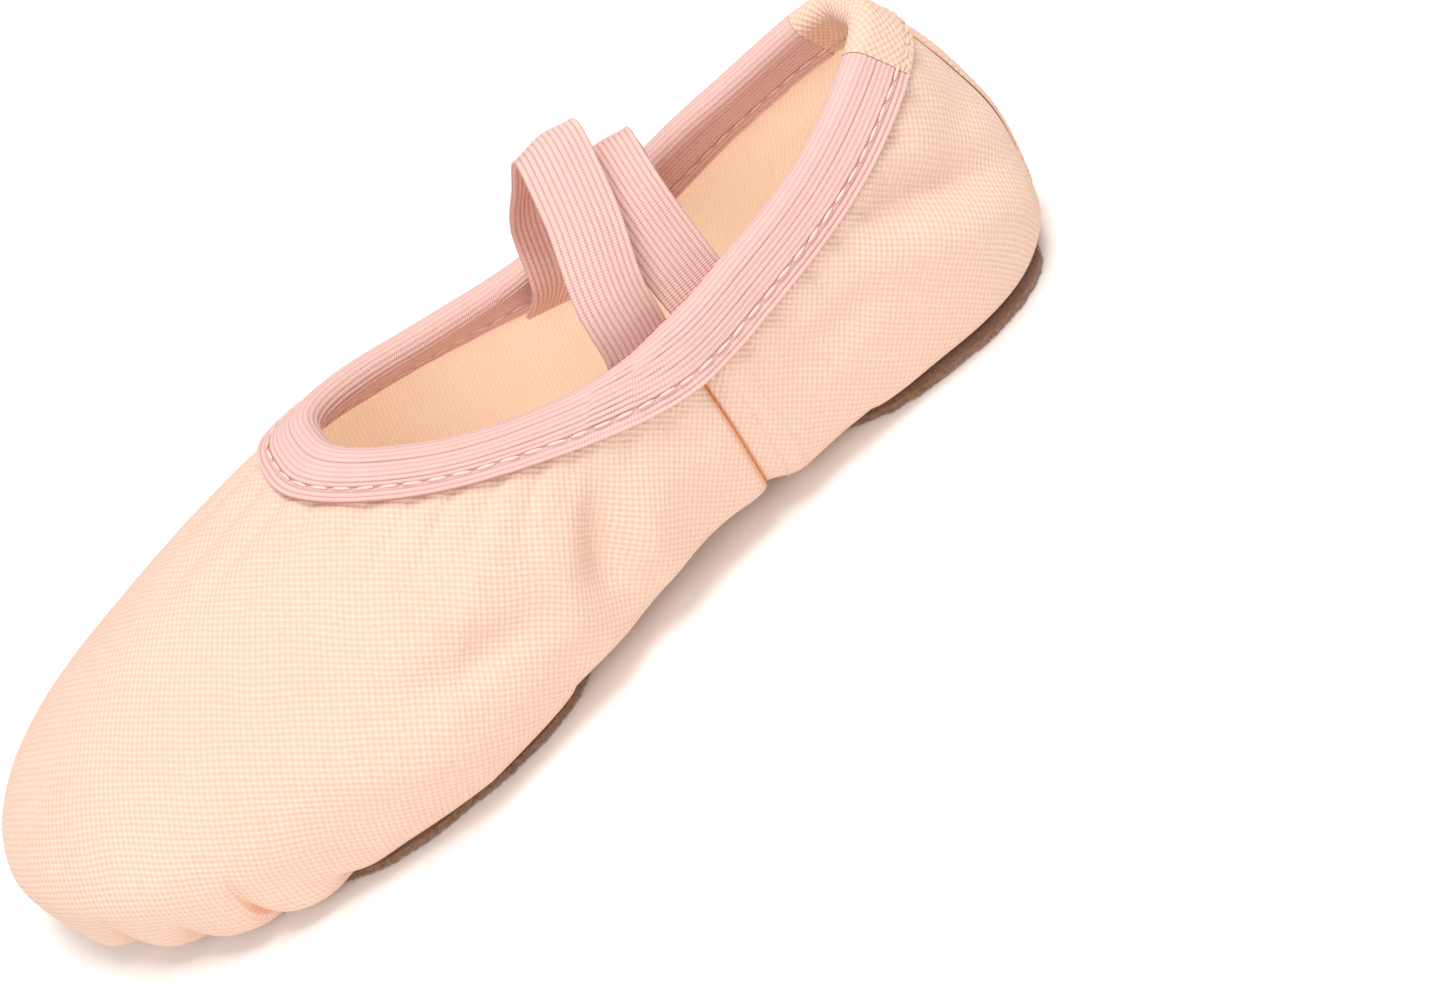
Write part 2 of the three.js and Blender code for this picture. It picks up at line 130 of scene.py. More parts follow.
def wander2(x: Array, y: Array, seed: int) -> Array:
    """A seeded smooth random surface of about +-1 over x and y, with features about 1 wide."""
    rng = np.random.default_rng(seed)
    knots = rng.uniform(-1, 1, (256, 256))
    i, j = np.floor(x).astype(int), np.floor(y).astype(int)
    fx, fy = ease(x - i), ease(y - j)
    at = lambda a, b: knots[a % 256, b % 256]
    return lerp(lerp(at(i, j), at(i + 1, j), fx), lerp(at(i, j + 1), at(i + 1, j + 1), fx), fy)


# ------------------------------------------------------------------ the shoe surface
@dataclass(frozen=True)
class SoleShape:
    """A rounded D-shaped outline, as of a sole patch or a pad."""

    rear: float
    length: float
    width: float
    flare: float
    roundness: float
    shift: float = 0.0

    def half(self, x: Array, inset: float = 0.0) -> Array:
        """Half width at x, drawn in by an inset all round."""
        along = (x - self.rear - self.length / 2) / (self.length / 2 - inset)
        arch = np.maximum(0.0, 1 - np.abs(along) ** self.roundness) ** (1 / self.roundness)
        return (self.width / 2 - inset) * arch * (1 + self.flare * along)

    def reach(self, x: Array, y: Array) -> Array:
        """1 on the outline, less inside and more outside."""
        along = (x - self.rear - self.length / 2) / (self.length / 2)
        across = (y - self.shift) / (self.width / 2 * (1 + self.flare * along))
        return (np.abs(along) ** self.roundness + np.abs(across) ** self.roundness) ** (1 / self.roundness)


@dataclass(frozen=True)
class Fold:
    """A soft dent (negative height) or bulge of the upper, in mm and in (sigma, v)."""

    sigma: float
    v: float
    long: float
    wide: float
    slant: float
    height: float

    def at(self, sigma: Array, v: Array) -> Array:
        """The fold's height at a place."""
        a, b = sigma - self.sigma, v - self.v
        along = a * math.cos(self.slant) + b * math.sin(self.slant)
        across = -a * math.sin(self.slant) + b * math.cos(self.slant)
        return self.height * bell(along / self.long) * bell(across / self.wide)


@dataclass(frozen=True)
class ShoeForm:
    """The one surface that every sewn layer follows, with the sizes that set it."""

    toe_x: float = 120.0
    heel_x: float = -120.0
    ball_x: float = 36.0
    seam_x: float = -37.0
    waist_x: float = -54.0
    heel_seat_x: float = -80.0
    throat_x: float = 25.5
    collar_x: float = -104.0
    ball_outer: float = 46.6
    ball_inner: float = 44.6
    waist_half: float = 29.2
    heel_half: float = 29.0
    outline_height: float = 15.8
    arch_rise: float = 3.4
    canvas_bottom: float = 1.9
    sole_margin: float = 12.0
    centre_slit: float = 0.04
    edge_power: float = 3.8
    lean_power: float = 1.8
    rim_squareness: float = 0.64
    binding_height: float = 9.5
    front_sole: SoleShape = SoleShape(2.0, 79.0, 76.0, 0.08, 2.8, 3.4)
    heel_sole: SoleShape = SoleShape(-114.0, 63.0, 53.0, 0.0, 2.6, 0.3)

    def centre(self, x: Array) -> Array:
        """y of the centre line at x."""
        return through([
            (self.heel_x, 0), (self.heel_seat_x, 0.6), (self.waist_x, 1.6), (self.seam_x, 2),
            (self.ball_x, 0), (self.toe_x - 30, -3.5), (self.toe_x, -7),
        ])(x)

    def rim_height(self, x: Array) -> Array:
        """Height of the topline at x."""
        return through([
            (self.collar_x, 62), (lerp(self.collar_x, self.seam_x, 0.43), 52.5), (self.seam_x + 3, 45.5),
            (lerp(self.seam_x, self.throat_x, 0.52), 49), (self.throat_x, 58),
        ])(x)

    def rim_half(self, x: Array) -> Array:
        """Half width of the topline at x, before its ends round off."""
        return through([
            (self.collar_x, 18.5), (lerp(self.collar_x, self.waist_x, 0.6), 23.6), (self.waist_x, 24.3),
            (self.seam_x, 25.8), (lerp(self.seam_x, self.throat_x, 0.68), 25), (self.throat_x, 21.5),
        ])(x)

    def outline_half(self, x: Array, side: int) -> Array:
        """Half width of the widest outline at x, on one side."""
        widening = through([
            (self.waist_x, 0), (self.seam_x, 0.09), (lerp(self.seam_x, self.ball_x, 0.27), 0.25),
            (lerp(self.seam_x, self.ball_x, 0.67), 0.7), (self.ball_x, 1),
        ])
        ball = self.ball_outer if side > 0 else self.ball_inner
        front = lerp(self.waist_half, ball, widening(x))
        to_heel = ease((self.waist_x - x) / (self.waist_x - self.heel_seat_x))
        half = np.where(x > self.waist_x, front, lerp(self.waist_half, self.heel_half, to_heel))
        toe_cap = round_off((x - self.ball_x) / (self.toe_x - self.ball_x), 2.35, 2.05)
        heel_cap = round_off((self.heel_seat_x - x) / (self.heel_seat_x - self.heel_x), 2.3, 2.1)
        return half * toe_cap * heel_cap

    def bottom_height(self, x: Array) -> Array:
        """Height of the underside of the canvas where it lies flat."""
        front, rear = self.front_sole.rear, self.heel_sole.rear + self.heel_sole.length
        return self.canvas_bottom + self.arch_rise * ease(
            1 - np.abs(x - (front + rear) / 2) / ((front - rear) / 2))

    def _share(self, points: Array, share: Array) -> Array:
        """Points at shares of a polyline's length."""
        at = np.concatenate([[0], np.cumsum(np.linalg.norm(np.diff(points, axis=0), axis=1))])
        return np.stack([np.interp(share * at[-1], at, points[:, k]) for k in range(3)], -1)

    def _outline(self, side: int, end_x: float) -> Array:
        """The widest outline from one end of the shoe to the side seam."""
        x = lerp(end_x, self.seam_x, 1 - np.cos(np.linspace(0, math.pi / 2, 600)))
        return np.stack([
            x, self.centre(x) + side * self.outline_half(x, side), x * 0 + self.outline_height], -1)

    def _rim(self, side: int, start: float, end: float) -> Array:
        """The topline between two angles of its plan, where 0 is the throat and pi the heel."""
        angle = np.linspace(start, end, 600)
        x = (self.throat_x + self.collar_x) / 2 + (self.throat_x - self.collar_x) / 2 * np.cos(angle)
        y = self.centre(x) + side * self.rim_half(x) * np.abs(np.sin(angle)) ** self.rim_squareness
        return np.stack([x, y, self.rim_height(x)], -1)

    def ring(self, name: str, sigma: Array) -> Array:
        """Points of the outline or the rim at sigma."""
        seam = math.acos((2 * self.seam_x - self.throat_x - self.collar_x) / (self.throat_x - self.collar_x))
        s = np.minimum(2.0, np.abs(sigma))
        result = np.zeros(sigma.shape + (3,))
        for side in (1, -1):
            if name == "outline":
                front, rear = self._outline(side, self.toe_x), self._outline(side, self.heel_x)[::-1]
            else:
                front, rear = self._rim(side, 0, seam), self._rim(side, seam, math.pi)
            here = (sigma >= 0) if side > 0 else (sigma < 0)
            vamp = here & (s <= 1)
            quarter = here & (s > 1)
            result[vamp] = self._share(front, s[vamp])
            result[quarter] = self._share(rear, s[quarter] - 1)
        return result

    def _inner(self, side: Array, x: Array) -> Array:
        """Inner edge of the canvas bottom: round the hole above a sole, then along the centre slit."""
        result = np.zeros(x.shape + (3,))
        for sole, here, end in (
            (self.front_sole, x > self.seam_x, self.toe_x),
            (self.heel_sole, x <= self.seam_x, self.heel_x),
        ):
            middle = sole.rear + sole.length / 2
            hole_end = middle + math.copysign(sole.length / 2 - self.sole_margin, end)
            past = np.clip((x - middle) / (end - middle), 0, None)
            at = np.where(past > 0, lerp(middle, hole_end, past), x)
            opening = sole.half(at, self.sole_margin)
            half = np.maximum(opening, self.centre_slit / 2)
            middle_y = self.centre(at) + sole.shift * opening / (sole.width / 2 - self.sole_margin)
            result[here] = np.stack([at, middle_y + side * half, self.bottom_height(at)], -1)[here]
        return result

    def point(self, sigma: Array, v: Array) -> Array:
        """Points of the outermost surface."""
        sigma, v = np.broadcast_arrays(np.asarray(sigma, float), np.asarray(v, float))
        outline, rim = self.ring("outline", sigma), self.ring("rim", sigma)
        up = np.clip(v, 0, 1)[..., None]
        wall = np.concatenate([
            lerp(outline[..., :2], rim[..., :2], up ** self.lean_power),
            lerp(outline[..., 2:], rim[..., 2:], up),
        ], -1)
        inner = self._inner(np.where(sigma < 0, -1.0, 1.0), outline[..., 0])
        turn = (1 + np.clip(v, -1, 0)) * math.pi / 2
        out = np.sin(turn) ** (2 / self.edge_power)
        x = lerp(inner[..., 0], outline[..., 0], out)
        y = lerp(inner[..., 1], outline[..., 1], out)
        high = outline[..., 2]
        z = high - (high - self.bottom_height(x)) * np.abs(np.cos(turn)) ** (2 / self.edge_power)
        return np.where((v >= 0)[..., None], wall, np.stack([x, y, z], -1))

    def normal(self, sigma: Array, v: Array) -> Array:
        """Outward unit normals of the surface."""
        sigma, v = np.broadcast_arrays(np.asarray(sigma, float), np.asarray(v, float))
        ds, dv = 0.012, 0.02
        along = self.point(np.minimum(2, sigma + ds), v) - self.point(np.maximum(-2, sigma - ds), v)
        up = self.point(sigma, np.minimum(1, v + dv)) - self.point(sigma, np.maximum(-1, v - dv))
        n = np.cross(along, up)
        return n / np.maximum(np.linalg.norm(n, axis=-1, keepdims=True), 1e-9)

    def foot(self, sigma: Array) -> Array:
        """v of the lower edge of the topline binding."""
        wall = np.linalg.norm(self.point(sigma, 1.0) - self.point(sigma, 0.99), axis=-1) / 0.01
        return 1 - self.binding_height / wall


FORM = ShoeForm()


@dataclass(frozen=True)
class Relief:
    """How the cloth moves off the plain surface: toe pleats, soft folds and the pucker below the topline."""

    pleats: int = 12
    pleat_reach: float = 0.5
    pleat_height: float = 4.7
    pucker: float = 0.75
    folds: tuple[Fold, ...] = (
        Fold(1.64, 0.47, 0.30, 0.075, -1.1, -4.4),
        Fold(1.57, 0.27, 0.28, 0.09, -1.1, 1.9),
        Fold(1.80, 0.52, 0.10, 0.12, 0.2, -1.3),
        Fold(1.30, 0.34, 0.10, 0.10, 0.4, -0.8),
        Fold(-1.66, 0.50, 0.15, 0.10, 0.1, -1.4),
        Fold(-1.80, 0.28, 0.10, 0.12, -0.5, 0.8),
        Fold(0.81, 0.28, 0.030, 0.36, 0.04, -3.8),
        Fold(0.755, 0.24, 0.035, 0.34, 0.05, 1.9),
        Fold(0.865, 0.16, 0.035, 0.32, 0.0, 2.0),
        Fold(0.62, 0.36, 0.075, 0.16, 0.5, -2.6),
        Fold(0.54, 0.10, 0.05, 0.20, 0.3, 1.4),
        Fold(-0.76, 0.15, 0.035, 0.34, -0.3, -1.5),
        Fold(-0.66, 0.20, 0.045, 0.30, -0.3, 0.8),
        Fold(-0.92, 0.10, 0.04, 0.35, 0.2, -0.9),
        Fold(0.30, 0.62, 0.12, 0.12, 0.7, -0.5),
        Fold(-0.28, 0.55, 0.13, 0.14, -0.6, -0.6),
    )

    def soft(self, sigma: Array, v: Array) -> Array:
        """The folds that all layers follow together, in mm outwards."""
        total = sum(fold.at(sigma, v) for fold in self.folds)
        total = total + 0.35 * wander2(sigma * 9.0, v * 3.0, 3) * ease((1 - v) / 0.3)
        fade = ease((FORM.foot(sigma[:, :1]) - v) / 0.12) * ease((v + 0.75) / 0.4)
        return total * fade

    def edges(self) -> Array:
        """sigma of the creases between the pleats, unevenly spaced."""
        even = np.linspace(-self.pleat_reach, self.pleat_reach, self.pleats + 1)
        return even + 0.009 * np.random.default_rng(11).uniform(-1, 1, even.shape)

    def gathers(self, sigma: Array, v: Array, point: Array) -> tuple[Array, Array]:
        """The toe pleats of the outer canvas.

        Args:
            sigma: places round the shoe.
            v: places up the surface.
            point: the plain surface there.

        Returns:
            Their height in mm outwards, and 0 to 1 for how deep in a crease a place is.
        """
        edges = self.edges()
        k = np.clip(np.searchsorted(edges, sigma) - 1, 0, self.pleats - 1)
        phase = np.clip((sigma - edges[k]) / (edges[k + 1] - edges[k]), 0, 1)
        rng = np.random.default_rng(5)
        lean = rng.uniform(-0.16, 0.16, self.pleats)[k]
        phase = np.clip(phase + lean * np.sin(2 * math.pi * phase) / 2, 0, 1)
        lobe = (4 * phase * (1 - phase)) ** 0.5
        top = rng.uniform(-0.12, 0.1, self.pleats + 1)
        top = lerp(top[k], top[k + 1], ease(phase)) + 0.08 - 0.2 * ease((np.abs(sigma) - 0.3) / 0.2)
        off_sole = (FORM.front_sole.reach(point[..., 0], point[..., 1] - FORM.centre(point[..., 0])) - 1) * 37
        along = ease((off_sole + 1.5) / 4.0) * ease((top - v) / 0.42)
        envelope = ease((self.pleat_reach - np.abs(sigma)) / 0.14)
        strength = along * envelope
        height = self.pleat_height * (0.75 + 0.25 * ease((v + 0.8) / 0.4))
        return strength * height * (lobe - 0.62), strength * (1 - lobe) ** 2

    def puckers(self, sigma: Array, v: Array) -> Array:
        """Small gathers just below the topline binding, in mm outwards."""
        foot = FORM.foot(sigma[:, :1])
        near = bell((foot - v - 0.06) / 0.12) * (v < foot + 0.04)
        wave = np.abs(np.sin(sigma * 34.0 + 1.6 * wander(sigma * 6.0, 4)))
        return self.pucker * near * (wave - 0.6)


RELIEF = Relief()


# ------------------------------------------------------------------ meshes
def make_object(name: str, vertices: Array, faces: Sequence,
                uv: Array | None = None, **marks: Array) -> bpy.types.Object:
    """A mesh object at the origin, made from mm.

    Args:
        name: the piece's name.
        vertices: points in mm.
        faces: faces as vertex numbers.
        uv: one (u, v) for each vertex, in mm on the cloth.
        **marks: one number for each vertex, kept as a point attribute.

    Returns:
        The object, linked to the scene.
    """
    mesh = bpy.data.meshes.new(name)
    mesh.from_pydata((vertices * MM).tolist(), [], faces.tolist() if hasattr(faces, "tolist") else faces)
    if uv is not None:
        layer = mesh.uv_layers.new(name="cloth")
        loops = np.zeros(len(mesh.loops), np.int32)
        mesh.loops.foreach_get("vertex_index", loops)
        layer.data.foreach_set("uv", uv[loops].astype(np.float32).ravel())
    for mark, values in marks.items():
        mesh.attributes.new(mark, "FLOAT", "POINT").data.foreach_set(
            "value", np.asarray(values, np.float32).ravel())
    mesh.shade_smooth()
    mesh.set_sharp_from_angle(angle=math.radians(55))
    mesh.update()
    piece = bpy.data.objects.new(name, mesh)
    bpy.context.scene.collection.objects.link(piece)
    return piece


def grid_faces(rows: int, columns: int, start: int, flip: bool) -> Array:
    """Quads over a grid of vertices numbered row by row from start."""
    i, j = np.meshgrid(np.arange(rows - 1), np.arange(columns - 1), indexing="ij")
    a = (start + i * columns + j).ravel()
    quads = np.stack([a, a + columns, a + columns + 1, a + 1], -1)
    return quads[:, ::-1] if flip else quads


def closed_sheet(name: str, outer: Array, inner: Array, uv: Array, **marks: Array) -> bpy.types.Object:
    """A closed body from the outer and the inner face of a sheet, two (n, m, 3) grids of points in mm."""
    n, m = outer.shape[:2]
    inner_start = n * m
    vertices = np.concatenate([outer.reshape(-1, 3), inner.reshape(-1, 3)])
    faces = [grid_faces(n, m, 0, False), grid_faces(n, m, inner_start, True)]
    number = np.arange(n * m).reshape(n, m)
    for line, flip in ((number[:, 0], True), (number[:, -1], False), (number[0], False), (number[-1], True)):
        a, b = line[:-1], line[1:]
        side = np.stack([a, b, b + inner_start, a + inner_start], -1)
        faces.append(side[:, ::-1] if flip else side)
    marks = {key: np.concatenate([value.ravel(), value.ravel()]) for key, value in marks.items()}
    return make_object(name, vertices, np.concatenate(faces),
                       np.concatenate([uv.reshape(-1, 2)] * 2), **marks)


def arc_lengths(points: Array, axis: int) -> Array:
    """Length run along one axis of a grid of points, from its first row."""
    step = np.linalg.norm(np.diff(points, axis=axis), axis=-1)
    pad = [(0, 0), (0, 0)]
    pad[axis] = (1, 0)
    return np.pad(np.cumsum(step, axis=axis), pad)


def points_along(line: Array, places: Array | None = None, count: int = 0, closed: bool = False) -> Array:
    """Points on a polyline.

    Args:
        line: the polyline's points.
        places: distances along it, or None for evenly spaced ones.
        count: how many evenly spaced points, from the first to the last.
        closed: whether the last even place would be the first again, and is left out.

    Returns:
        The points, one a row.
    """
    at = np.concatenate([[0], np.cumsum(np.linalg.norm(np.diff(line, axis=0), axis=1))])
    places = np.linspace(0, at[-1], count, endpoint=not closed) if places is None else places
    return np.stack([np.interp(places, at, line[:, k]) for k in range(line.shape[1])], -1)


def line_length(line: Array) -> float:
    """The whole length of a polyline."""
    return np.cumsum(np.linalg.norm(np.diff(line, axis=0), axis=1))[-1]


def flatten_cloth(points: Array, forward: tuple[tuple[int, int], tuple[int, int]]) -> Array:
    """Lays a curved sheet out flat with the least stretch, as its cloth was cut.

    Args:
        points: an (n, m, 3) grid in mm.
        forward: two grid places; the flat u axis runs from the first to the second.

    Returns:
        An (n, m, 2) grid of places on the flat cloth, in mm.
    """
    n, m = points.shape[:2]
    sheet = make_object("flattening", points.reshape(-1, 3), grid_faces(n, m, 0, False), np.zeros((n * m, 2)))
    bpy.context.view_layer.objects.active = sheet
    sheet.select_set(True)
    bpy.ops.object.mode_set(mode="EDIT")
    bpy.ops.mesh.select_all(action="SELECT")
    bpy.ops.uv.unwrap(method="CONFORMAL", margin=0.0)
    bpy.ops.object.mode_set(mode="OBJECT")
    loops = np.zeros(len(sheet.data.loops), np.int32)
    flat = np.zeros(len(sheet.data.loops) * 2, np.float32)
    sheet.data.loops.foreach_get("vertex_index", loops)
    sheet.data.uv_layers["cloth"].data.foreach_get("uv", flat)
    uv = np.zeros((n * m, 2))
    uv[loops] = flat.reshape(-1, 2)
    uv = uv.reshape(n, m, 2)
    data = sheet.data
    bpy.data.objects.remove(sheet)
    bpy.data.meshes.remove(data)
    real = (np.linalg.norm(np.diff(points, axis=0), axis=-1).sum()
            + np.linalg.norm(np.diff(points, axis=1), axis=-1).sum())
    laid = (np.linalg.norm(np.diff(uv, axis=0), axis=-1).sum()
            + np.linalg.norm(np.diff(uv, axis=1), axis=-1).sum())
    uv = uv * real / laid
    (a, b), (c, d) = forward
    heading = uv[c, d] - uv[a, b]
    angle = math.atan2(heading[1], heading[0])
    turn = np.array([[math.cos(angle), -math.sin(angle)], [math.sin(angle), math.cos(angle)]])
    return (uv - uv[a, b]) @ turn


# ------------------------------------------------------------------ materials
def linear(colour: str) -> tuple[float, float, float, float]:
    """An sRGB hex colour as linear RGBA."""
    parts = [int(colour.lstrip("#")[i:i + 2], 16) / 255 for i in (0, 2, 4)]
    return (*[c / 12.92 if c <= 0.04045 else ((c + 0.055) / 1.055) ** 2.4 for c in parts], 1.0)


def add(tree: bpy.types.NodeTree, kind: str, inputs: dict | None = None, **settings) -> bpy.types.Node:
    """Adds a node.

    Args:
        tree: the node tree.
        kind: the node's type.
        inputs: for each socket, by name or number, a value or the socket that feeds it.
        **settings: the node's own properties.

    Returns:
        The new node.
    """
    node = tree.nodes.new(kind)
    for key, value in settings.items():
        setattr(node, key, value)
    for key, value in (inputs or {}).items():
        socket = node.inputs[key]
        if isinstance(value, bpy.types.NodeSocket):
            tree.links.new(value, socket)
        else:
            socket.default_value = value
    return node


def calc(tree: bpy.types.NodeTree, how: str, *values) -> bpy.types.NodeSocket:
    """The result of one sum on numbers or sockets."""
    return add(tree, "ShaderNodeMath", dict(enumerate(values)), operation=how).outputs[0]


def blend_colour(tree: bpy.types.NodeTree, share, a, b, how: str = "MIX") -> bpy.types.NodeSocket:
    """Two colours mixed by a share."""
    node = add(tree, "ShaderNodeMix", {0: share, 6: a, 7: b}, data_type="RGBA", blend_type=how)
    return node.outputs[2]


class Weave(Enum):
    """How a cloth's threads cross."""

    HALF_BASKET = "raised dots in staggered rows"
    TWILL = "fine slanting ribs"
    ELASTIC = "lengthwise ribs wrapped with fine cross threads"
    PLAIN = "plain small checks"


@dataclass(frozen=True)
class ClothFinish:
    """A woven cotton or elastic cloth, dyed to match, with painted shade between its threads and in its
    creases.
    """

    name: str
    face: str
    # gap: painted shade between the threads; also the darker random tone, and the colour of the painted glow
    gap: str
    # fold: the colour of painted shade in creases and grooves, mixed in by the fold attribute
    fold: str
    weave: Weave
    across: float
    along: float
    rise: float
    roughness: float = 0.9
    sheen: float = 0.25
    thread_shade_share: float = 0.55
    painted_glow: float = 0.0

    def pattern(self, tree: bpy.types.NodeTree, u, w) -> bpy.types.NodeSocket:
        """Height of the weave, 0 to 1, at cloth places u and w in mm."""
        wave = lambda place, pitch: calc(tree, "COSINE", calc(tree, "MULTIPLY", place, 2 * math.pi / pitch))
        if self.weave is Weave.HALF_BASKET:
            raised = calc(tree, "MULTIPLY", wave(u, self.along), wave(w, self.across * 2))
        elif self.weave is Weave.TWILL:
            slanted = calc(tree, "ADD", u, calc(tree, "MULTIPLY", w, 0.35))
            raised = calc(tree, "ADD", wave(slanted, self.across),
                           calc(tree, "MULTIPLY", wave(w, self.along), 0.3))
        elif self.weave is Weave.ELASTIC:
            raised = wave(u, self.along)
        else:
            raised = calc(tree, "MULTIPLY", wave(u, self.along), wave(w, self.across))
        return calc(tree, "MULTIPLY_ADD", raised, 0.5, 0.5)

    def make(self) -> bpy.types.Material:
        """The finished material."""
        material = bpy.data.materials.new(self.name)
        material.use_nodes = True
        tree = material.node_tree
        tree.nodes.clear()
        uv = add(tree, "ShaderNodeUVMap", uv_map="cloth").outputs[0]
        # Threads are never quite straight or even: a slow drift bends the rows by a fraction of a pitch.
        drift = add(tree, "ShaderNodeTexNoise",
                    {"Vector": uv, "Scale": 0.05, "Detail": 1.0}, noise_dimensions="2D")
        parts = add(tree, "ShaderNodeSeparateXYZ", {0: uv})
        u = calc(tree, "MULTIPLY_ADD", drift.outputs[0], self.along * 1.2, parts.outputs[0])
        w = calc(tree, "MULTIPLY_ADD", drift.outputs[0], self.across * 1.2, parts.outputs[1])
        height = self.pattern(tree, u, w)
        slub = add(tree, "ShaderNodeTexNoise",
                    {"Vector": uv, "Scale": 1.4, "Detail": 3.0}, noise_dimensions="2D")
        broad = add(tree, "ShaderNodeTexNoise",
                    {"Vector": uv, "Scale": 0.045, "Detail": 2.0}, noise_dimensions="2D")
        fold = add(tree, "ShaderNodeAttribute", attribute_name="fold").outputs["Fac"]
        # Painted shade between the raised threads: the gap colour where the weave is low.
        thread = calc(tree, "MULTIPLY", calc(tree, "SUBTRACT", 1.0, height), self.thread_shade_share)
        colour = blend_colour(tree, thread, linear(self.face), linear(self.gap))
        patchy = calc(tree, "MULTIPLY_ADD", slub.outputs[0], 0.30,
                       calc(tree, "MULTIPLY", broad.outputs[0], 0.24))
        colour = blend_colour(tree, calc(tree, "SUBTRACT", patchy, 0.17), colour, linear(self.gap))
        # Painted shade in creases and grooves: the fold attribute mixes in the fold colour.
        colour = blend_colour(tree, calc(tree, "MINIMUM", fold, 1.0), colour, linear(self.fold))
        relief = calc(tree, "MULTIPLY_ADD", slub.outputs[0], 0.45, height)
        bump = add(tree, "ShaderNodeBump", {"Strength": 1.0, "Distance": self.rise * MM, "Height": relief})
        shader = add(tree, "ShaderNodeBsdfPrincipled", {
            "Base Color": colour, "Roughness": self.roughness, "Sheen Weight": self.sheen,
            "Sheen Roughness": 0.5, "Specular IOR Level": 0.25, "Normal": bump.outputs[0],
        })
        shader.inputs["Sheen Tint"].default_value = linear(self.face)
        # Painted light: a glow in the gap colour brightens the cloth where it lies in shade.
        shader.inputs["Emission Color"].default_value = linear(self.gap)
        shader.inputs["Emission Strength"].default_value = self.painted_glow
        add(tree, "ShaderNodeOutputMaterial", {"Surface": shader.outputs[0]})
        return material


@dataclass(frozen=True)
class SuedeFinish:
    """Split suede: a brushed nap with short fibres, darker where it is cut."""

    name: str = "split_suede"
    nap: str = "#AE866C"
    deep: str = "#7C5844"
    pale: str = "#C9A389"
    # Colour of the painted shade in the needle holes.
    hole: str = "#3A261D"

    def make(self) -> bpy.types.Material:
        """The finished material."""
        material = bpy.data.materials.new(self.name)
        material.use_nodes = True
        tree = material.node_tree
        tree.nodes.clear()
        place = add(tree, "ShaderNodeTexCoord").outputs["Object"]
        # Nap clumps are about 0.8 mm across, single fibres 0.25 mm.
        clump = add(tree, "ShaderNodeTexNoise",
                    {"Vector": place, "Scale": 1200.0, "Detail": 5.0, "Roughness": 0.7})
        fibre = add(tree, "ShaderNodeTexNoise",
                    {"Vector": place, "Scale": 3600.0, "Detail": 3.0, "Distortion": 1.5})
        scuff = add(tree, "ShaderNodeTexNoise", {"Vector": place, "Scale": 60.0, "Detail": 4.0})
        dark = add(tree, "ShaderNodeMapRange", {0: clump.outputs[0], 1: 0.38, 2: 0.62})
        colour = blend_colour(tree, dark.outputs[0], linear(self.deep), linear(self.nap))
        light = add(tree, "ShaderNodeMapRange", {0: fibre.outputs[0], 1: 0.5, 2: 0.75, 4: 0.6})
        colour = blend_colour(tree, light.outputs[0], colour, linear(self.pale))
        worn = add(tree, "ShaderNodeMapRange", {0: scuff.outputs[0], 1: 0.45, 2: 0.7, 4: 0.35})
        colour = blend_colour(tree, worn.outputs[0], colour, linear(self.pale))
        edge = add(tree, "ShaderNodeAttribute", attribute_name="cut").outputs["Fac"]
        colour = blend_colour(tree, calc(tree, "MULTIPLY", edge, 0.3), colour, linear(self.deep))
        # Painted shade in the needle holes, in the dark hole colour.
        hole = add(tree, "ShaderNodeAttribute", attribute_name="hole").outputs["Fac"]
        colour = blend_colour(tree, calc(tree, "MINIMUM", hole, 1.0), colour, linear(self.hole))
        height = calc(tree, "MULTIPLY_ADD", fibre.outputs[0], 0.5, clump.outputs[0])
        bump = add(tree, "ShaderNodeBump", {"Strength": 0.9, "Distance": 0.35 * MM, "Height": height})
        shader = add(tree, "ShaderNodeBsdfPrincipled", {
            "Base Color": colour, "Roughness": 0.96, "Sheen Weight": 0.5, "Sheen Roughness": 0.4,
            "Specular IOR Level": 0.15, "Normal": bump.outputs[0],
        })
        add(tree, "ShaderNodeOutputMaterial", {"Surface": shader.outputs[0]})
        return material


@dataclass(frozen=True)
class ThreadFinish:
    """Twisted polyester sewing thread, slightly lustrous."""

    name: str
    colour: str

    def make(self) -> bpy.types.Material:
        """The finished material."""
        material = bpy.data.materials.new(self.name)
        material.use_nodes = True
        tree = material.node_tree
        tree.nodes.clear()
        place = add(tree, "ShaderNodeTexCoord").outputs["Object"]
        twist = add(tree, "ShaderNodeTexNoise", {"Vector": place, "Scale": 2500.0, "Detail": 1.0})
        colour = blend_colour(tree, calc(tree, "MULTIPLY", twist.outputs[0], 0.35),
                               linear(self.colour), linear("#B98A72"))
        bump = add(tree, "ShaderNodeBump",
                   {"Strength": 0.6, "Distance": 0.1 * MM, "Height": twist.outputs[0]})
        shader = add(tree, "ShaderNodeBsdfPrincipled", {
            "Base Color": colour, "Roughness": 0.55, "Sheen Weight": 0.2, "Normal": bump.outputs[0],
        })
        add(tree, "ShaderNodeOutputMaterial", {"Surface": shader.outputs[0]})
        return material


# Half-basket cotton canvas: dots 1.4 mm apart in rows 0.8 mm apart, with painted warm shade between them.
CANVAS = ClothFinish("peach_cotton_canvas", "#FBE0D0", "#E6AC88", "#DE8A48",
                     Weave.HALF_BASKET, 0.8, 1.45, 0.26)
# Cotton twill lining: slanting ribs 1 mm apart, with a painted glow that brightens its shaded inside.
LINING = ClothFinish("peach_twill_lining", "#FFF1E4", "#FADFC6", "#EBBB92",
                     Weave.TWILL, 1.0, 0.7, 0.12, thread_shade_share=0.6,
                     painted_glow=0.2)
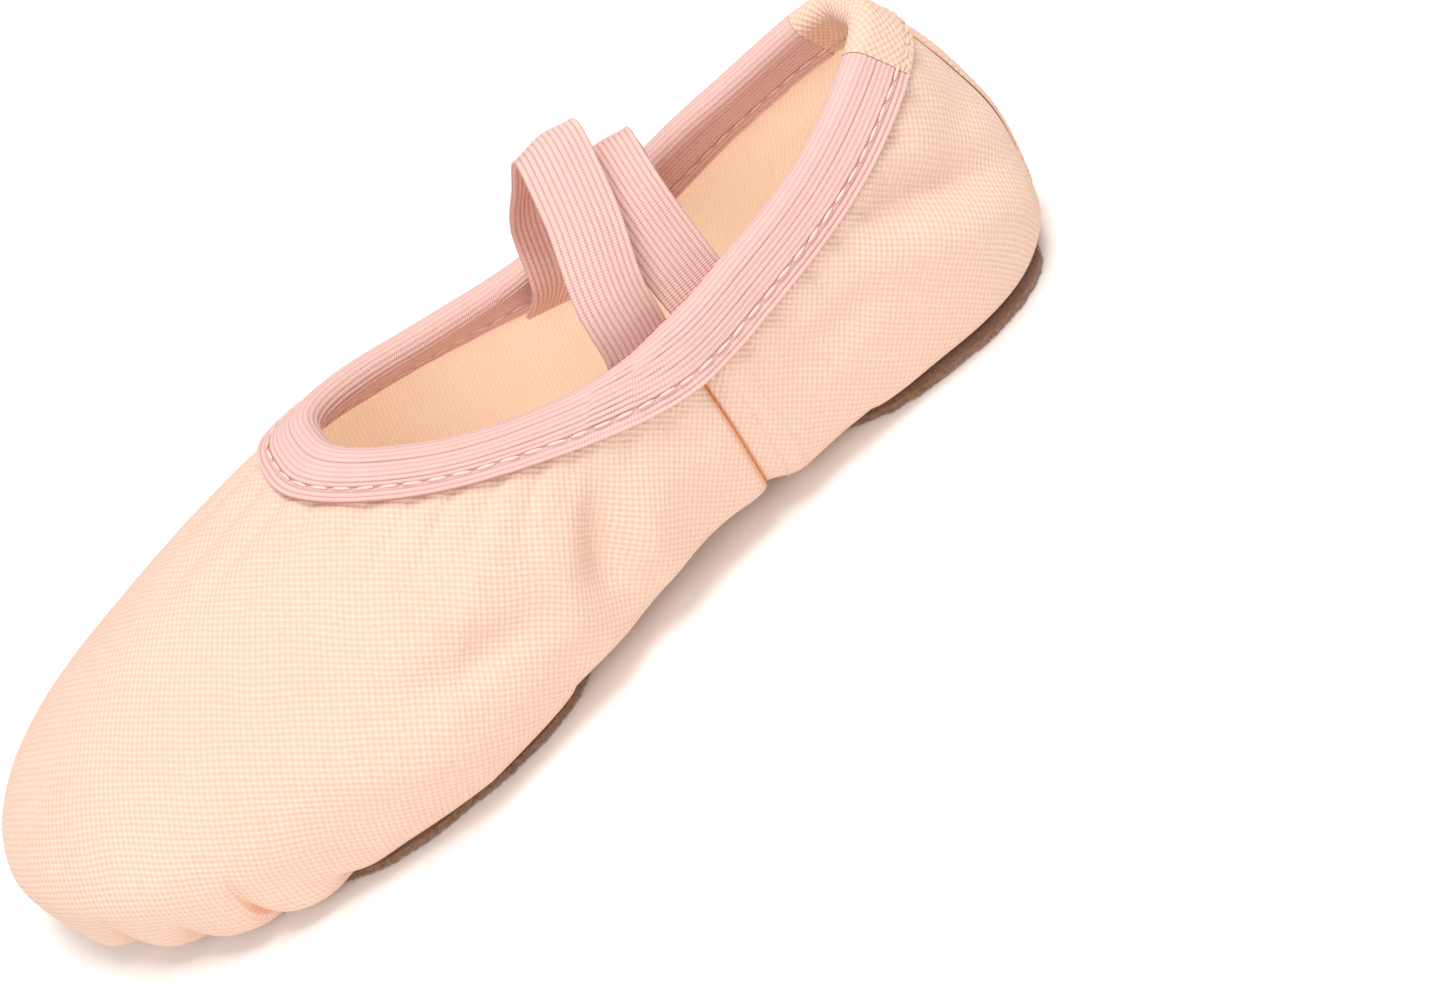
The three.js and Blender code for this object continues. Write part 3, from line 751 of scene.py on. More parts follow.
# Knitted elastic: rubber cores under wrapped threads; the cross threads are 0.55 mm apart.
ELASTIC = ClothFinish("pink_ribbed_elastic", "#F3CFC7", "#E2ADA2", "#B96F66", Weave.ELASTIC, 1.0, 0.5, 0.08,
                      roughness=0.6, sheen=0.3, thread_shade_share=0.3)
PAD_CLOTH = ClothFinish("pad_cotton_cloth", "#F5E6D6", "#E3C6AC", "#C99A77", Weave.PLAIN, 0.7, 0.7, 0.08)
SUEDE = SuedeFinish()
PALE_THREAD = ThreadFinish("pale_sewing_thread", "#F3D3C6")
PINK_THREAD = ThreadFinish("pink_sewing_thread", "#F8DCD4")


# ------------------------------------------------------------------ stitches
@dataclass
class Needlework:
    """Sews rows of stitches along paths with one Geometry Nodes tree."""

    tree: bpy.types.NodeTree | None = None
    tilt: float = 0.07

    def build_tree(self) -> bpy.types.NodeTree:
        """Makes the tree: even points on a path, a thread capsule on each, realized, with its material."""
        tree = bpy.data.node_groups.new("Stitch row", "GeometryNodeTree")
        face = tree.interface
        face.new_socket("Path", in_out="INPUT", socket_type="NodeSocketGeometry")
        for name in ("Pitch", "Stitch length", "Thread radius"):
            face.new_socket(name, in_out="INPUT", socket_type="NodeSocketFloat")
        face.new_socket("Seed", in_out="INPUT", socket_type="NodeSocketInt")
        face.new_socket("Thread", in_out="INPUT", socket_type="NodeSocketMaterial")
        face.new_socket("Stitches", in_out="OUTPUT", socket_type="NodeSocketGeometry")
        given = add(tree, "NodeGroupInput").outputs
        curve = add(tree, "GeometryNodeMeshToCurve", {"Mesh": given["Path"]}).outputs[0]
        points = add(tree, "GeometryNodeCurveToPoints",
                     {"Curve": curve, "Length": given["Pitch"]}, mode="LENGTH")
        turn = add(tree, "FunctionNodeAlignRotationToVector", {"Vector": points.outputs["Tangent"]}, axis="Z")
        tilt = add(tree, "FunctionNodeRandomValue",
                   {0: (-self.tilt,) * 3, 1: (self.tilt,) * 3, "Seed": given["Seed"]},
                   data_type="FLOAT_VECTOR")
        tilted = add(tree, "FunctionNodeRotateRotation", {0: turn.outputs[0], 1: tilt.outputs[0]})
        half = add(tree, "ShaderNodeMath",
                   {0: given["Stitch length"], 1: 0.5}, operation="MULTIPLY").outputs[0]
        size = add(tree, "ShaderNodeCombineXYZ",
                   {0: given["Thread radius"], 1: given["Thread radius"], 2: half})
        capsule = add(tree, "GeometryNodeMeshUVSphere", {"Segments": 7, "Rings": 6, "Radius": 1.0})
        stitches = add(tree, "GeometryNodeInstanceOnPoints", {
            "Points": points.outputs["Points"], "Instance": capsule.outputs[0],
            "Rotation": tilted.outputs[0], "Scale": size.outputs[0],
        })
        real = add(tree, "GeometryNodeRealizeInstances", {0: stitches.outputs[0]})
        smooth = add(tree, "GeometryNodeSetShadeSmooth", {"Geometry": real.outputs[0]})
        dyed = add(tree, "GeometryNodeSetMaterial",
                   {"Geometry": smooth.outputs[0], "Material": given["Thread"]})
        add(tree, "NodeGroupOutput", {0: dyed.outputs[0]})
        return tree

    def sew(self, name: str, paths: Sequence[Array], thread: bpy.types.Material, pitch: float, length: float,
            radius: float, seed: int = 1) -> bpy.types.Object:
        """Sews stitches along paths.

        Args:
            name: the piece's name.
            paths: polylines in mm.
            thread: the thread's material.
            pitch: from one stitch to the next, in mm.
            length: of one stitch, in mm.
            radius: of the thread, in mm.
            seed: for the small tilt of each stitch.

        Returns:
            A plain mesh object of the stitches.
        """
        self.tree = self.tree or self.build_tree()
        points, edges, start = [], [], 0
        for path in paths:
            points.append(path)
            edges += [(start + i, start + i + 1) for i in range(len(path) - 1)]
            start += len(path)
        mesh = bpy.data.meshes.new(name + "_path")
        mesh.from_pydata((np.concatenate(points) * MM).tolist(), edges, [])
        guide = bpy.data.objects.new(name + "_path", mesh)
        bpy.context.scene.collection.objects.link(guide)
        modifier = guide.modifiers.new("stitches", "NODES")
        modifier.node_group = self.tree
        values = {"Pitch": pitch * MM, "Stitch length": length * MM, "Thread radius": radius * MM,
                  "Seed": seed,
                  "Thread": thread}
        for item in self.tree.interface.items_tree:
            if item.in_out == "INPUT" and item.name in values:
                modifier[item.identifier] = values[item.name]
        graph = bpy.context.evaluated_depsgraph_get()
        sewn = bpy.data.meshes.new_from_object(guide.evaluated_get(graph), depsgraph=graph)
        sewn.name = name
        bpy.data.objects.remove(guide)
        piece = bpy.data.objects.new(name, sewn)
        bpy.context.scene.collection.objects.link(piece)
        return piece


NEEDLE = Needlework()


def declare_sheet(piece: bpy.types.Object, face: Array, uv: Array) -> None:
    """Works out the size of a sheet's cut and logs it.

    Args:
        piece: the finished sheet.
        face: its outer face, an (n, m, 3) grid in mm.
        uv: the places of the grid on the flat cloth, in mm.
    """
    a, b, c, d = face[:-1, :-1], face[1:, :-1], face[1:, 1:], face[:-1, 1:]
    area = sum(np.linalg.norm(np.cross(p, q), axis=-1).sum() / 2 for p, q in ((b - a, c - a), (c - a, d - a)))
    width, length = sorted(np.ptp(uv.reshape(-1, 2), axis=0))
    # A gathered sheet is wider flat than the form it is drawn over.
    spread = max(1.0, (area / (width * length)) ** 0.5)
    width, length = width * spread * 1.001, length * spread * 1.001
    log.info("%s: cut %.1f by %.1f mm, %.0f mm2", piece.name, width, length, area)


def dress(piece: bpy.types.Object, material: bpy.types.Material) -> bpy.types.Object:
    """Gives a piece its material, unless it has one already."""
    if not piece.data.materials:
        piece.data.materials.append(material)
    return piece


def over_arch(piece: bpy.types.Object) -> bpy.types.Object:
    """Bakes a piece's transform into its mesh."""
    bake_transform(piece)
    return piece


# ------------------------------------------------------------------ the upper
@dataclass
class Upper:
    """The canvas panels and their linings, the back strip and the seams."""

    canvas: float = 0.8
    lining_depth: float = 2.7
    lining: float = 0.5
    lap: float = 1.45
    edge_roll: float = 0.55
    vamp_unit: float = 170.0
    quarter_unit: float = 95.0
    finishes: dict[str, bpy.types.Material] = field(default_factory=dict)
    side_rows: tuple[float, float] = (0.048, 0.088)
    arch_row: float = 2.6

    def rows(self, sigmas: Array, bottom: int, wall: int, top: int) -> Array:
        """v places for each station: the bottom, the wall to the binding's edge, and under the binding."""
        foot = FORM.foot(sigmas)[:, None]
        low = np.linspace(-1, 0, bottom + 1)[None, :-1] + foot * 0
        mid = np.linspace(0, 1, wall + 1)[None, :-1] * foot
        high = foot + (1 - foot) * np.linspace(0, 1, top + 1)[None, :]
        return np.concatenate([low, mid, high], 1)

    def layer(self, name: str, sigmas: Array, v: Array, depths: tuple, forward: tuple, canvas: bool,
              marks: Callable | None = None) -> bpy.types.Object:
        """One sewn panel.

        Args:
            name: the piece's name.
            sigmas: its stations.
            v: rows for each station.
            depths: depth of the outer and of the inner face, as numbers or grids, in mm.
            forward: grid shares from which and to which the cloth's u axis runs.
            canvas: whether it is the outer canvas, which is pleated at the toe.
            marks: gives the fold mark, the painted crease shade, from sigma, v and the crease mark.

        Returns:
            The panel.
        """
        sigma = np.repeat(sigmas[:, None], v.shape[1], 1)
        point, normal = FORM.point(sigma, v), FORM.normal(sigma, v)
        move = RELIEF.soft(sigma, v)
        crease = np.zeros_like(sigma)
        if canvas:
            pleats, crease = RELIEF.gathers(sigma, v, point)
            move = move + pleats + RELIEF.puckers(sigma, v)
        outer = point + normal * (move - depths[0])[..., None]
        inner = point + normal * (move - depths[1])[..., None]
        # The fold mark is painted shade; unless marks give it, it is the depth in the toe pleats' creases.
        fold = crease if marks is None else marks(sigma, v, crease)
        uv = self.flat(sigmas, v, forward)
        piece = closed_sheet(name, outer, inner, uv, fold=fold)
        declare_sheet(piece, outer, uv)
        return piece

    def flat(self, sigmas: Array, v: Array, forward: tuple) -> Array:
        """Places on the flat cloth, in mm: laid out above the outline and carried on straight below it."""
        some = np.linspace(sigmas[0], sigmas[-1], 61)
        rows = np.linspace(0, 1, 15)
        grid = FORM.point(some[:, None], rows[None, :] + some[:, None] * 0)
        a, b = forward
        laid = flatten_cloth(grid, (
            (round(a[0] * 60), round(a[1] * 14)), (round(b[0] * 60), round(b[1] * 14))))
        sigma = np.repeat(sigmas[:, None], v.shape[1], 1)
        above = np.zeros(v.shape + (2,))
        edge = np.zeros((len(sigmas), 2))
        out = np.zeros((len(sigmas), 2))
        for k in range(2):
            by_row = np.stack([np.interp(sigmas, some, laid[:, j, k]) for j in range(15)], -1)
            above[..., k] = np.stack([np.interp(v[i], rows, by_row[i]) for i in range(len(sigmas))])
            edge[:, k] = by_row[:, 0]
            out[:, k] = by_row[:, 0] - by_row[:, 1]
        out /= np.maximum(np.linalg.norm(out, axis=-1, keepdims=True), 1e-9)
        below = FORM.point(sigma, np.minimum(v, 0))
        run = arc_lengths(below, 1)
        run = run[:, -1:] - run
        return above + out[:, None, :] * run[..., None]

    def vamp(self) -> list[bpy.types.Object]:
        """The vamp's canvas and lining."""
        toe = np.arange(-0.52, 0.5201, 0.0034)
        sigmas = np.concatenate([np.linspace(-1, -0.52, 66)[:-1], toe, np.linspace(0.52, 1, 66)[1:]])
        v = self.rows(sigmas, 30, 34, 4)
        from_edge = (1 - np.abs(sigmas))[:, None] * self.vamp_unit + v * 0
        roll = self.edge_roll * ease(1 - from_edge / 1.8) - 0.2 * bell((from_edge - 4) / 2.2)

        def marks(sigma: Array, v: Array, crease: Array) -> Array:
            """Painted shade in the creases and along the lapped edge."""
            return np.maximum(crease, 0.7 * ease(1 - from_edge / 0.7))

        canvas = self.layer("vamp_canvas_cloth", sigmas, v, (roll, roll + self.canvas),
                            CENTRE_LINE, True, marks)
        coarse = np.linspace(-1, 1, 181)
        depth = self.lining_depth
        lining = self.layer("vamp_lining_cloth", coarse, self.rows(coarse, 16, 22, 3),
                            (depth, depth + self.lining),
                            CENTRE_LINE, False)
        for piece, node, finish, slot in (
            (canvas, "vamp_canvas", "canvas", "canvas"), (lining, "vamp_lining", "lining", "lining"),
        ):
            dress(piece, self.finishes[finish])
            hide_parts(node)
            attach(piece, "forefoot")
        return [canvas, lining]

    def quarters(self) -> list[bpy.types.Object]:
        """Both rear side panels, canvas and lining."""
        pieces = []
        for side, word in ((1, "outer"), (-1, "inner")):
            sigmas = np.concatenate([np.linspace(0.975, 1.08, 30), np.linspace(1.08, 1.9992, 110)[1:]])
            sigmas = sigmas if side > 0 else -sigmas[::-1]
            v = self.rows(sigmas, 20, 34, 4)
            away = np.abs(sigmas)[:, None] + v * 0
            depth = self.lap * (1 - ease((away - 1.0) / 0.07)) - 0.25 * bell((away - 1.075) / 0.03)
            depth = depth + 0.4 * ease(1 - (2 - away) * self.quarter_unit / 1.2)

            def marks(sigma: Array, v: Array, crease: Array) -> Array:
                """Painted shade in the side seam's crevice."""
                return ease((1.012 - np.abs(sigma)) / 0.01) * ease((1 - v) / 0.2)

            forward = ((0.0, 0.3), (1.0, 0.3)) if side < 0 else ((1.0, 0.3), (0.0, 0.3))
            canvas = self.layer(f"quarter_canvas_{word}_cloth", sigmas, v, (depth, depth + self.canvas),
                                forward, True, marks)
            coarse = np.linspace(1.0004, 1.9994, 80)
            coarse = coarse if side > 0 else -coarse[::-1]
            deep = self.lining_depth
            lining = self.layer(f"quarter_lining_{word}_cloth", coarse, self.rows(coarse, 14, 22, 3),
                                (deep, deep + self.lining), forward, False)
            for piece, node, finish in ((canvas, "canvas", "canvas"), (lining, "lining", "lining")):
                dress(piece, self.finishes[finish])
                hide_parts(f"quarter_{node}_{word}")
                over_arch(piece)
                pieces.append(piece)
        return pieces

    def back_strip(self) -> list[bpy.types.Object]:
        """The narrow strip sewn over the back seam, with its edges rounded down."""
        half = 0.062
        sigmas = np.linspace(2 - half, 2, 14)
        halves = []
        for side in (1, -1):
            s = side * sigmas if side > 0 else -sigmas[::-1]
            v = np.linspace(-0.36, 1, 60)[None, :] * 1.0
            top = (FORM.foot(s) - 0.03)[:, None]
            v = np.where(v > 0, v * top, v)
            across = (2 - np.abs(s))[:, None] / half + v * 0
            puff = 0.75 - 0.35 * across ** 4
            grid = np.repeat(s[:, None], v.shape[1], 1)
            point, normal = FORM.point(grid, v), FORM.normal(grid, v)
            move = RELIEF.soft(grid, v)
            halves.append((point + normal * (move + 0.25 + puff)[..., None],
                           point + normal * (move + 0.2)[..., None],
                           np.stack([(grid - np.sign(grid) * 2) * self.quarter_unit, v * 45], -1)))
        outer, inner, uv = (np.concatenate([halves[0][k], halves[1][k][1:]]) for k in range(3))
        strip = closed_sheet("heel_back_strip", outer, inner, uv)
        declare_sheet(strip, outer, uv)
        dress(strip, self.finishes["canvas"])
        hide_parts("heel_seam_tape")
        over_arch(strip)
        return [strip]

    def wall_path(self, sigma: float | Array, v: Array, lift: float) -> Array:
        """A path on the canvas, lifted off it by a little, in mm."""
        grid_v = np.atleast_2d(v).T if np.ndim(sigma) == 0 else np.asarray(v)[:, None]
        grid_s = np.asarray(sigma, float) * np.ones_like(grid_v[:, 0])
        point = FORM.point(grid_s, grid_v[:, 0])
        normal = FORM.normal(grid_s, grid_v[:, 0])
        move = RELIEF.soft(grid_s[:, None], grid_v)[:, 0]
        return point + normal * (move + lift)[:, None]

    def seams(self) -> list[bpy.types.Object]:
        """Rows behind each side seam, beside the back strip's middle and each side of the arch seam."""
        rows = []
        for side in (1, -1):
            for back in self.side_rows:
                foot = float(FORM.foot(np.array([side * (1 + back)]))[0])
                rows.append(self.wall_path(
                    side * (1 + back), np.linspace(-0.62, foot - 0.01, 60), 0.1 - self.depth_at(back)))
        side_rows = NEEDLE.sew("side_seam_stitches", rows, self.finishes["pink_thread"], 2.7, 2.0, 0.2, 2)
        rows = []
        for side in (1, -1):
            foot = float(FORM.foot(np.array([1.94]))[0])
            rows.append(self.wall_path(side * 1.955, np.linspace(-0.3, foot - 0.05, 60), 0.83))
        back_rows = NEEDLE.sew("back_strip_stitches", rows, self.finishes["pale_thread"], 2.8, 2.1, 0.16, 3)
        x = np.linspace(-72, 0, 120)
        rows = [np.stack([x, FORM.centre(x) + side * self.arch_row, FORM.bottom_height(x) - 0.1], -1)
                for side in (-1, 1)]
        arch_rows = NEEDLE.sew("arch_seam_stitches", rows, self.finishes["pale_thread"], 2.8, 2.1, 0.16, 4)
        for piece in (side_rows, back_rows, arch_rows):
            dress(piece, self.finishes["pale_thread"])
            over_arch(piece)
        return [side_rows, back_rows, arch_rows]

    def depth_at(self, back: float) -> float:
        """Depth of the quarter's face at sigma 1 + back."""
        place = np.array(1 + back)
        return float(self.lap * (1 - ease((place - 1.0) / 0.07)) - 0.25 * bell((place - 1.075) / 0.03))


# ------------------------------------------------------------------ the topline
@dataclass
class Topline:
    """The ribbed elastic folded over the topline, and the canvas cap at the heel."""

    gap: float = 0.4
    inner_leg: float = 3.6
    elastic: float = 1.0
    cap: float = 1.1
    cap_half: float = 0.2
    rib_pitch: float = 1.06
    rib_height: float = 0.26
    finishes: dict[str, bpy.types.Material] = field(default_factory=dict)

    def fold(self, sigmas: Array, depth_out: float, depth_in: float, legs: int,
             turn: int) -> tuple[Array, Array]:
        """A U-shaped section over the topline at each station.

        Args:
            sigmas: the stations.
            depth_out: depth of the outer leg's face.
            depth_in: depth of the inner leg's face.
            legs: steps on each leg.
            turn: steps round the fold.

        Returns:
            The points, and their outward directions, as (n, m, 3) grids.
        """
        foot = FORM.foot(sigmas)[:, None]
        v = foot + (1 - foot) * np.linspace(0, 1, legs + 1)[None, :]
        s = np.repeat(sigmas[:, None], legs + 1, 1)
        point, normal = FORM.point(s, v), FORM.normal(s, v)
        rim, out = point[:, -1], normal[:, -1]
        up = rim - point[:, -2]
        up /= np.linalg.norm(up, axis=-1, keepdims=True)
        middle, radius = (depth_out + depth_in) / 2, (depth_in - depth_out) / 2
        angle = np.linspace(0, math.pi, turn + 1)[1:-1]
        arc = (rim[:, None] - out[:, None] * (middle - radius * np.cos(angle))[None, :, None]
               + up[:, None] * (0.3 + radius * np.sin(angle))[None, :, None])
        away = out[:, None] * np.cos(angle)[None, :, None] + up[:, None] * np.sin(angle)[None, :, None]
        lift = up[:, None] * (0.3 * np.linspace(0, 1, legs + 1) ** 2)[None, :, None]
        outer_leg = point - normal * depth_out + lift
        inner_leg = (point - normal * depth_in + lift)[:, ::-1]
        return (np.concatenate([outer_leg, arc, inner_leg], 1),
                np.concatenate([normal, away, -normal[:, ::-1]], 1))

    def band(self, name: str, sigmas: Array, thick: float, ribs: bool) -> bpy.types.Object:
        """A folded band along the topline.

        Args:
            name: the piece's name.
            sigmas: the stations.
            thick: its thickness in mm.
            ribs: whether it is ribbed elastic.

        Returns:
            The band.
        """
        legs, turn = (44, 36) if ribs else (16, 20)
        face, away = self.fold(sigmas, -self.gap - thick, self.inner_leg + thick, legs, turn)
        under, _ = self.fold(sigmas, -self.gap, self.inner_leg, legs, turn)
        across = arc_lengths(face, 1)
        along = arc_lengths(face, 0)[:, face.shape[1] // 2][:, None] + across * 0
        width = across[:, -1:]
        from_edge = np.minimum(across, width - across)
        if ribs:
            count = np.round(width / self.rib_pitch)
            wave = np.abs(np.sin(math.pi * across / width * count)) ** 0.55
            seam = bell((from_edge - 2.9) / 0.5)
            height = self.rib_height * (wave - 0.7) - 0.16 * seam
            height = height + 0.10 * wander2(along / 3.1, across / 9.0, 8) * bell((from_edge - 1) / 6)
            height = height + 0.3 * bell((from_edge - 0.55) / 0.5)
            # Painted shade in the grooves between the ribs and along the stitch groove.
            fold = np.minimum(1.0, 0.75 * (1 - wave) ** 1.5 + 0.4 * seam)
        else:
            height = 0.12 * wander2(along / 5.0, across / 4.0, 9) - 0.22 * bell((from_edge - 2.0) / 0.6)
            height = height - 0.35 * ease(1 - from_edge / 0.8)
            # Painted shade along the stitch groove 2 mm in from each edge.
            fold = 0.2 * bell((from_edge - 2.0) / 0.5)
        uv = np.stack([along, across], -1)
        outer = face + away * height[..., None]
        piece = closed_sheet(name, outer, under, uv, fold=fold)
        declare_sheet(piece, outer, uv)
        return piece

    def elastic_band(self) -> list[bpy.types.Object]:
        """The elastic all round from one side of the heel cap to the other."""
        end = 2 - self.cap_half - 0.002
        front = np.linspace(-1, 1, 200)
        rear = np.linspace(1, end, 66)[1:]
        band = self.band("topline_elastic_band",
                         np.concatenate([-rear[::-1], front, rear]), self.elastic, True)
        dress(band, self.finishes["elastic"])
        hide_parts("topline_elastic")
        over_arch(band)
        return [band]

    def heel_cap(self) -> list[bpy.types.Object]:
        """The canvas cap over the heel's topline."""
        rise = np.linspace(2 - self.cap_half, 2, 40)
        cap = self.band("heel_collar_cap", np.concatenate([rise, -rise[::-1][1:]]), self.cap, False)
        dress(cap, self.finishes["canvas"])
        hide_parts("heel_collar_binding")
        over_arch(cap)
        return [cap]

    def stitches(self) -> list[bpy.types.Object]:
        """The lock stitch that holds each band, seen on its outer and on its inner leg."""
        pieces = []
        end = 2 - self.cap_half - 0.01
        runs = (
            ("topline_elastic_stitches", np.linspace(-end, end, 500),
             self.elastic, "pink_thread", "elastic", 4.3, 3.6, 2.9),
            ("heel_cap_stitches", None, self.cap, "pale_thread", "canvas", 3.0, 2.3, 2.0),
        )
        for name, sigmas, thick, thread, slot, pitch, length, above in runs:
            if sigmas is None:
                rise = np.linspace(2 - self.cap_half + 0.01, 2, 60)
                sigmas = np.concatenate([rise, -rise[::-1][1:]])
            face, away = self.fold(sigmas, -self.gap - thick, self.inner_leg + thick, 44, 36)
            across = arc_lengths(face, 1)
            paths = []
            for place in (above, None):
                target = above if place is not None else across[:, -1] - above
                at = np.argmin(np.abs(across - np.reshape(target, (-1, 1))), 1)
                paths.append(face[np.arange(len(sigmas)), at] + away[np.arange(len(sigmas)), at] * 0.02)
            piece = NEEDLE.sew(name, paths, self.finishes[thread], pitch, length, 0.33, 5)
            dress(piece, self.finishes[thread])
            over_arch(piece)
            pieces.append(piece)
        return pieces


# ------------------------------------------------------------------ the instep straps
@dataclass
class InstepStrap:
    """A ribbed elastic ribbon, sewn inside both walls and standing in a loop between them."""

    name: str
    node: str
    body: str
    outer_x: float
    inner_x: float
    loop: Sequence[tuple[float, float, float]]
    width: float = 13.5
    thick: float = 1.1
    ribs: int = 12
    seat_depth: float = 6.1
    lean: float = 1.8
    rim_half: float = 25.8
    seam_height: float = 45.5
    bend_from: float = 0.037
    bend_to: float = 0.050
    stations: int = 170
    flutter: float = 0.18

    def seat(self, side: int, x: float) -> tuple[Array, Array]:
        """The sewn end: a point at the binding's lower edge and one at the topline."""
        table = np.linspace(0, 2, 2001) * side
        xs = FORM.point(table, 1.0)[:, 0]
        sigma = np.array([np.interp(-x, -xs, table)])
        foot = FORM.foot(sigma)
        low = FORM.point(sigma, foot) - FORM.normal(sigma, foot) * self.seat_depth
        high = FORM.point(sigma, 1.0) - FORM.normal(sigma, 1.0) * (self.seat_depth + self.lean)
        return low[0], high[0]

    def route(self, count: int) -> Array:
        """Evenly spaced points along the ribbon's middle, by a centripetal curve."""
        low_out, high_out = self.seat(1, self.outer_x)
        low_in, high_in = self.seat(-1, self.inner_x)
        loop = [
            np.array([self.outer_x + a, s * self.rim_half, self.seam_height + r]) for a, s, r in self.loop]
        points = [low_out, high_out, *loop, high_in, low_in]
        points = [2 * points[0] - points[1], *points, 2 * points[-1] - points[-2]]
        curve = []
        for p0, p1, p2, p3 in zip(points, points[1:], points[2:], points[3:]):
            t = np.cumsum([0] + [np.linalg.norm(b - a) ** 0.5 for a, b in ((p0, p1), (p1, p2), (p2, p3))])
            u = np.linspace(t[1], t[2], 60)[:-1, None]
            mix = lambda a, b, ta, tb: (a * (tb - u) + b * (u - ta)) / (tb - ta)
            a1, a2, a3 = mix(p0, p1, t[0], t[1]), mix(p1, p2, t[1], t[2]), mix(p2, p3, t[2], t[3])
            b1, b2 = mix(a1, a2, t[0], t[2]), mix(a2, a3, t[1], t[3])
            curve.append(mix(b1, b2, t[1], t[2]))
        curve = np.concatenate([*curve, points[-2][None]])
        return points_along(curve, count=count)

    def build(self, material: bpy.types.Material) -> bpy.types.Object:
        """The ribbon."""
        middle = self.route(self.stations)
        tangent = np.gradient(middle, axis=0)
        tangent /= np.linalg.norm(tangent, axis=1, keepdims=True)
        wide = np.array([1.0, 0, 0]) - tangent * tangent[:, :1]
        wide /= np.linalg.norm(wide, axis=1, keepdims=True)
        up = np.cross(tangent, wide)
        share = np.linspace(0.5, -0.5, self.ribs * 5 + 1)
        rib = np.abs(np.sin(math.pi * (share + 0.5) * self.ribs)) ** 0.55
        edge = ease((np.abs(share) - 0.485) / 0.015)
        half = (self.thick / 2 + 0.2 * (rib - 0.75) - 0.35 * edge)[None, :, None]
        along = np.linspace(0, 1, len(middle))
        length = np.linalg.norm(np.diff(middle, axis=0), axis=1).sum()
        cup = 0.5 * np.cos(share * 2 * math.pi)[None, :] * np.sin(along * math.pi)[:, None] ** 0.5
        flutter = self.flutter * wander2(
            along[:, None] * 9 + share[None, :] * 0.6, share[None, :] * 2 + 0 * along[:, None], 6)
        base = middle[:, None] + wide[:, None] * (share * self.width)[None, :, None]
        base = base + up[:, None] * (cup + flutter)[..., None]
        uv = np.stack(np.broadcast_arrays(along[:, None] * length, (share * self.width)[None, :]), -1)
        # Painted shade in the grooves between the ribs.
        fold = np.repeat((0.55 * (1 - rib) ** 1.5)[None], len(middle), 0)
        piece = closed_sheet(self.name, base - up[:, None] * half, base + up[:, None] * half, uv, fold=fold)
        declare_sheet(piece, base - up[:, None] * half, uv)
        dress(piece, material)
        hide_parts(self.node)
        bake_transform(piece)
        return piece


# ------------------------------------------------------------------ soles and pads
def turned_plate(name: str, outline: Array, profile: Sequence[tuple[float, float, float]], shape: Callable,
                 **marks: Callable) -> bpy.types.Object:
    """A closed plate whose rows are copies of an outline, from the middle below to the middle above.

    Args:
        name: the piece's name.
        outline: (a, 2) points round the outline, anticlockwise, in mm.
        profile: for each row its share of the outline, its height and 1 on the face that is shaped.
        shape: gives heights to add on a shaped row from (n, 2) points.
        **marks: each gives an attribute from (n, 2) points and the row's profile.

    Returns:
        The plate.
    """
    centre = outline.mean(0)
    count = len(outline)
    rows, values = [], {key: [] for key in marks}
    for share, height, shaped in profile:
        flat = centre + (outline - centre) * share if share > 0 else centre[None]
        z = height + (shape(flat) if shaped else np.zeros(len(flat)))
        rows.append(np.column_stack([flat, z]))
        for key, mark in marks.items():
            values[key].append(mark(flat, (share, height, shaped)))
    vertices = np.concatenate(rows)
    faces: list = []
    ring = np.arange(count)
    start = 1
    faces += [(0, start + (k + 1) % count, start + k) for k in range(count)]
    for _ in range(len(profile) - 3):
        a, b = start + ring, start + (ring + 1) % count
        faces += np.stack([a, b, b + count, a + count], -1).tolist()
        start += count
    last = len(vertices) - 1
    faces += [(start + k, start + (k + 1) % count, last) for k in range(count)]
    return make_object(name, vertices, faces, vertices[:, :2].copy(),
                       **{key: np.concatenate(value) for key, value in values.items()})


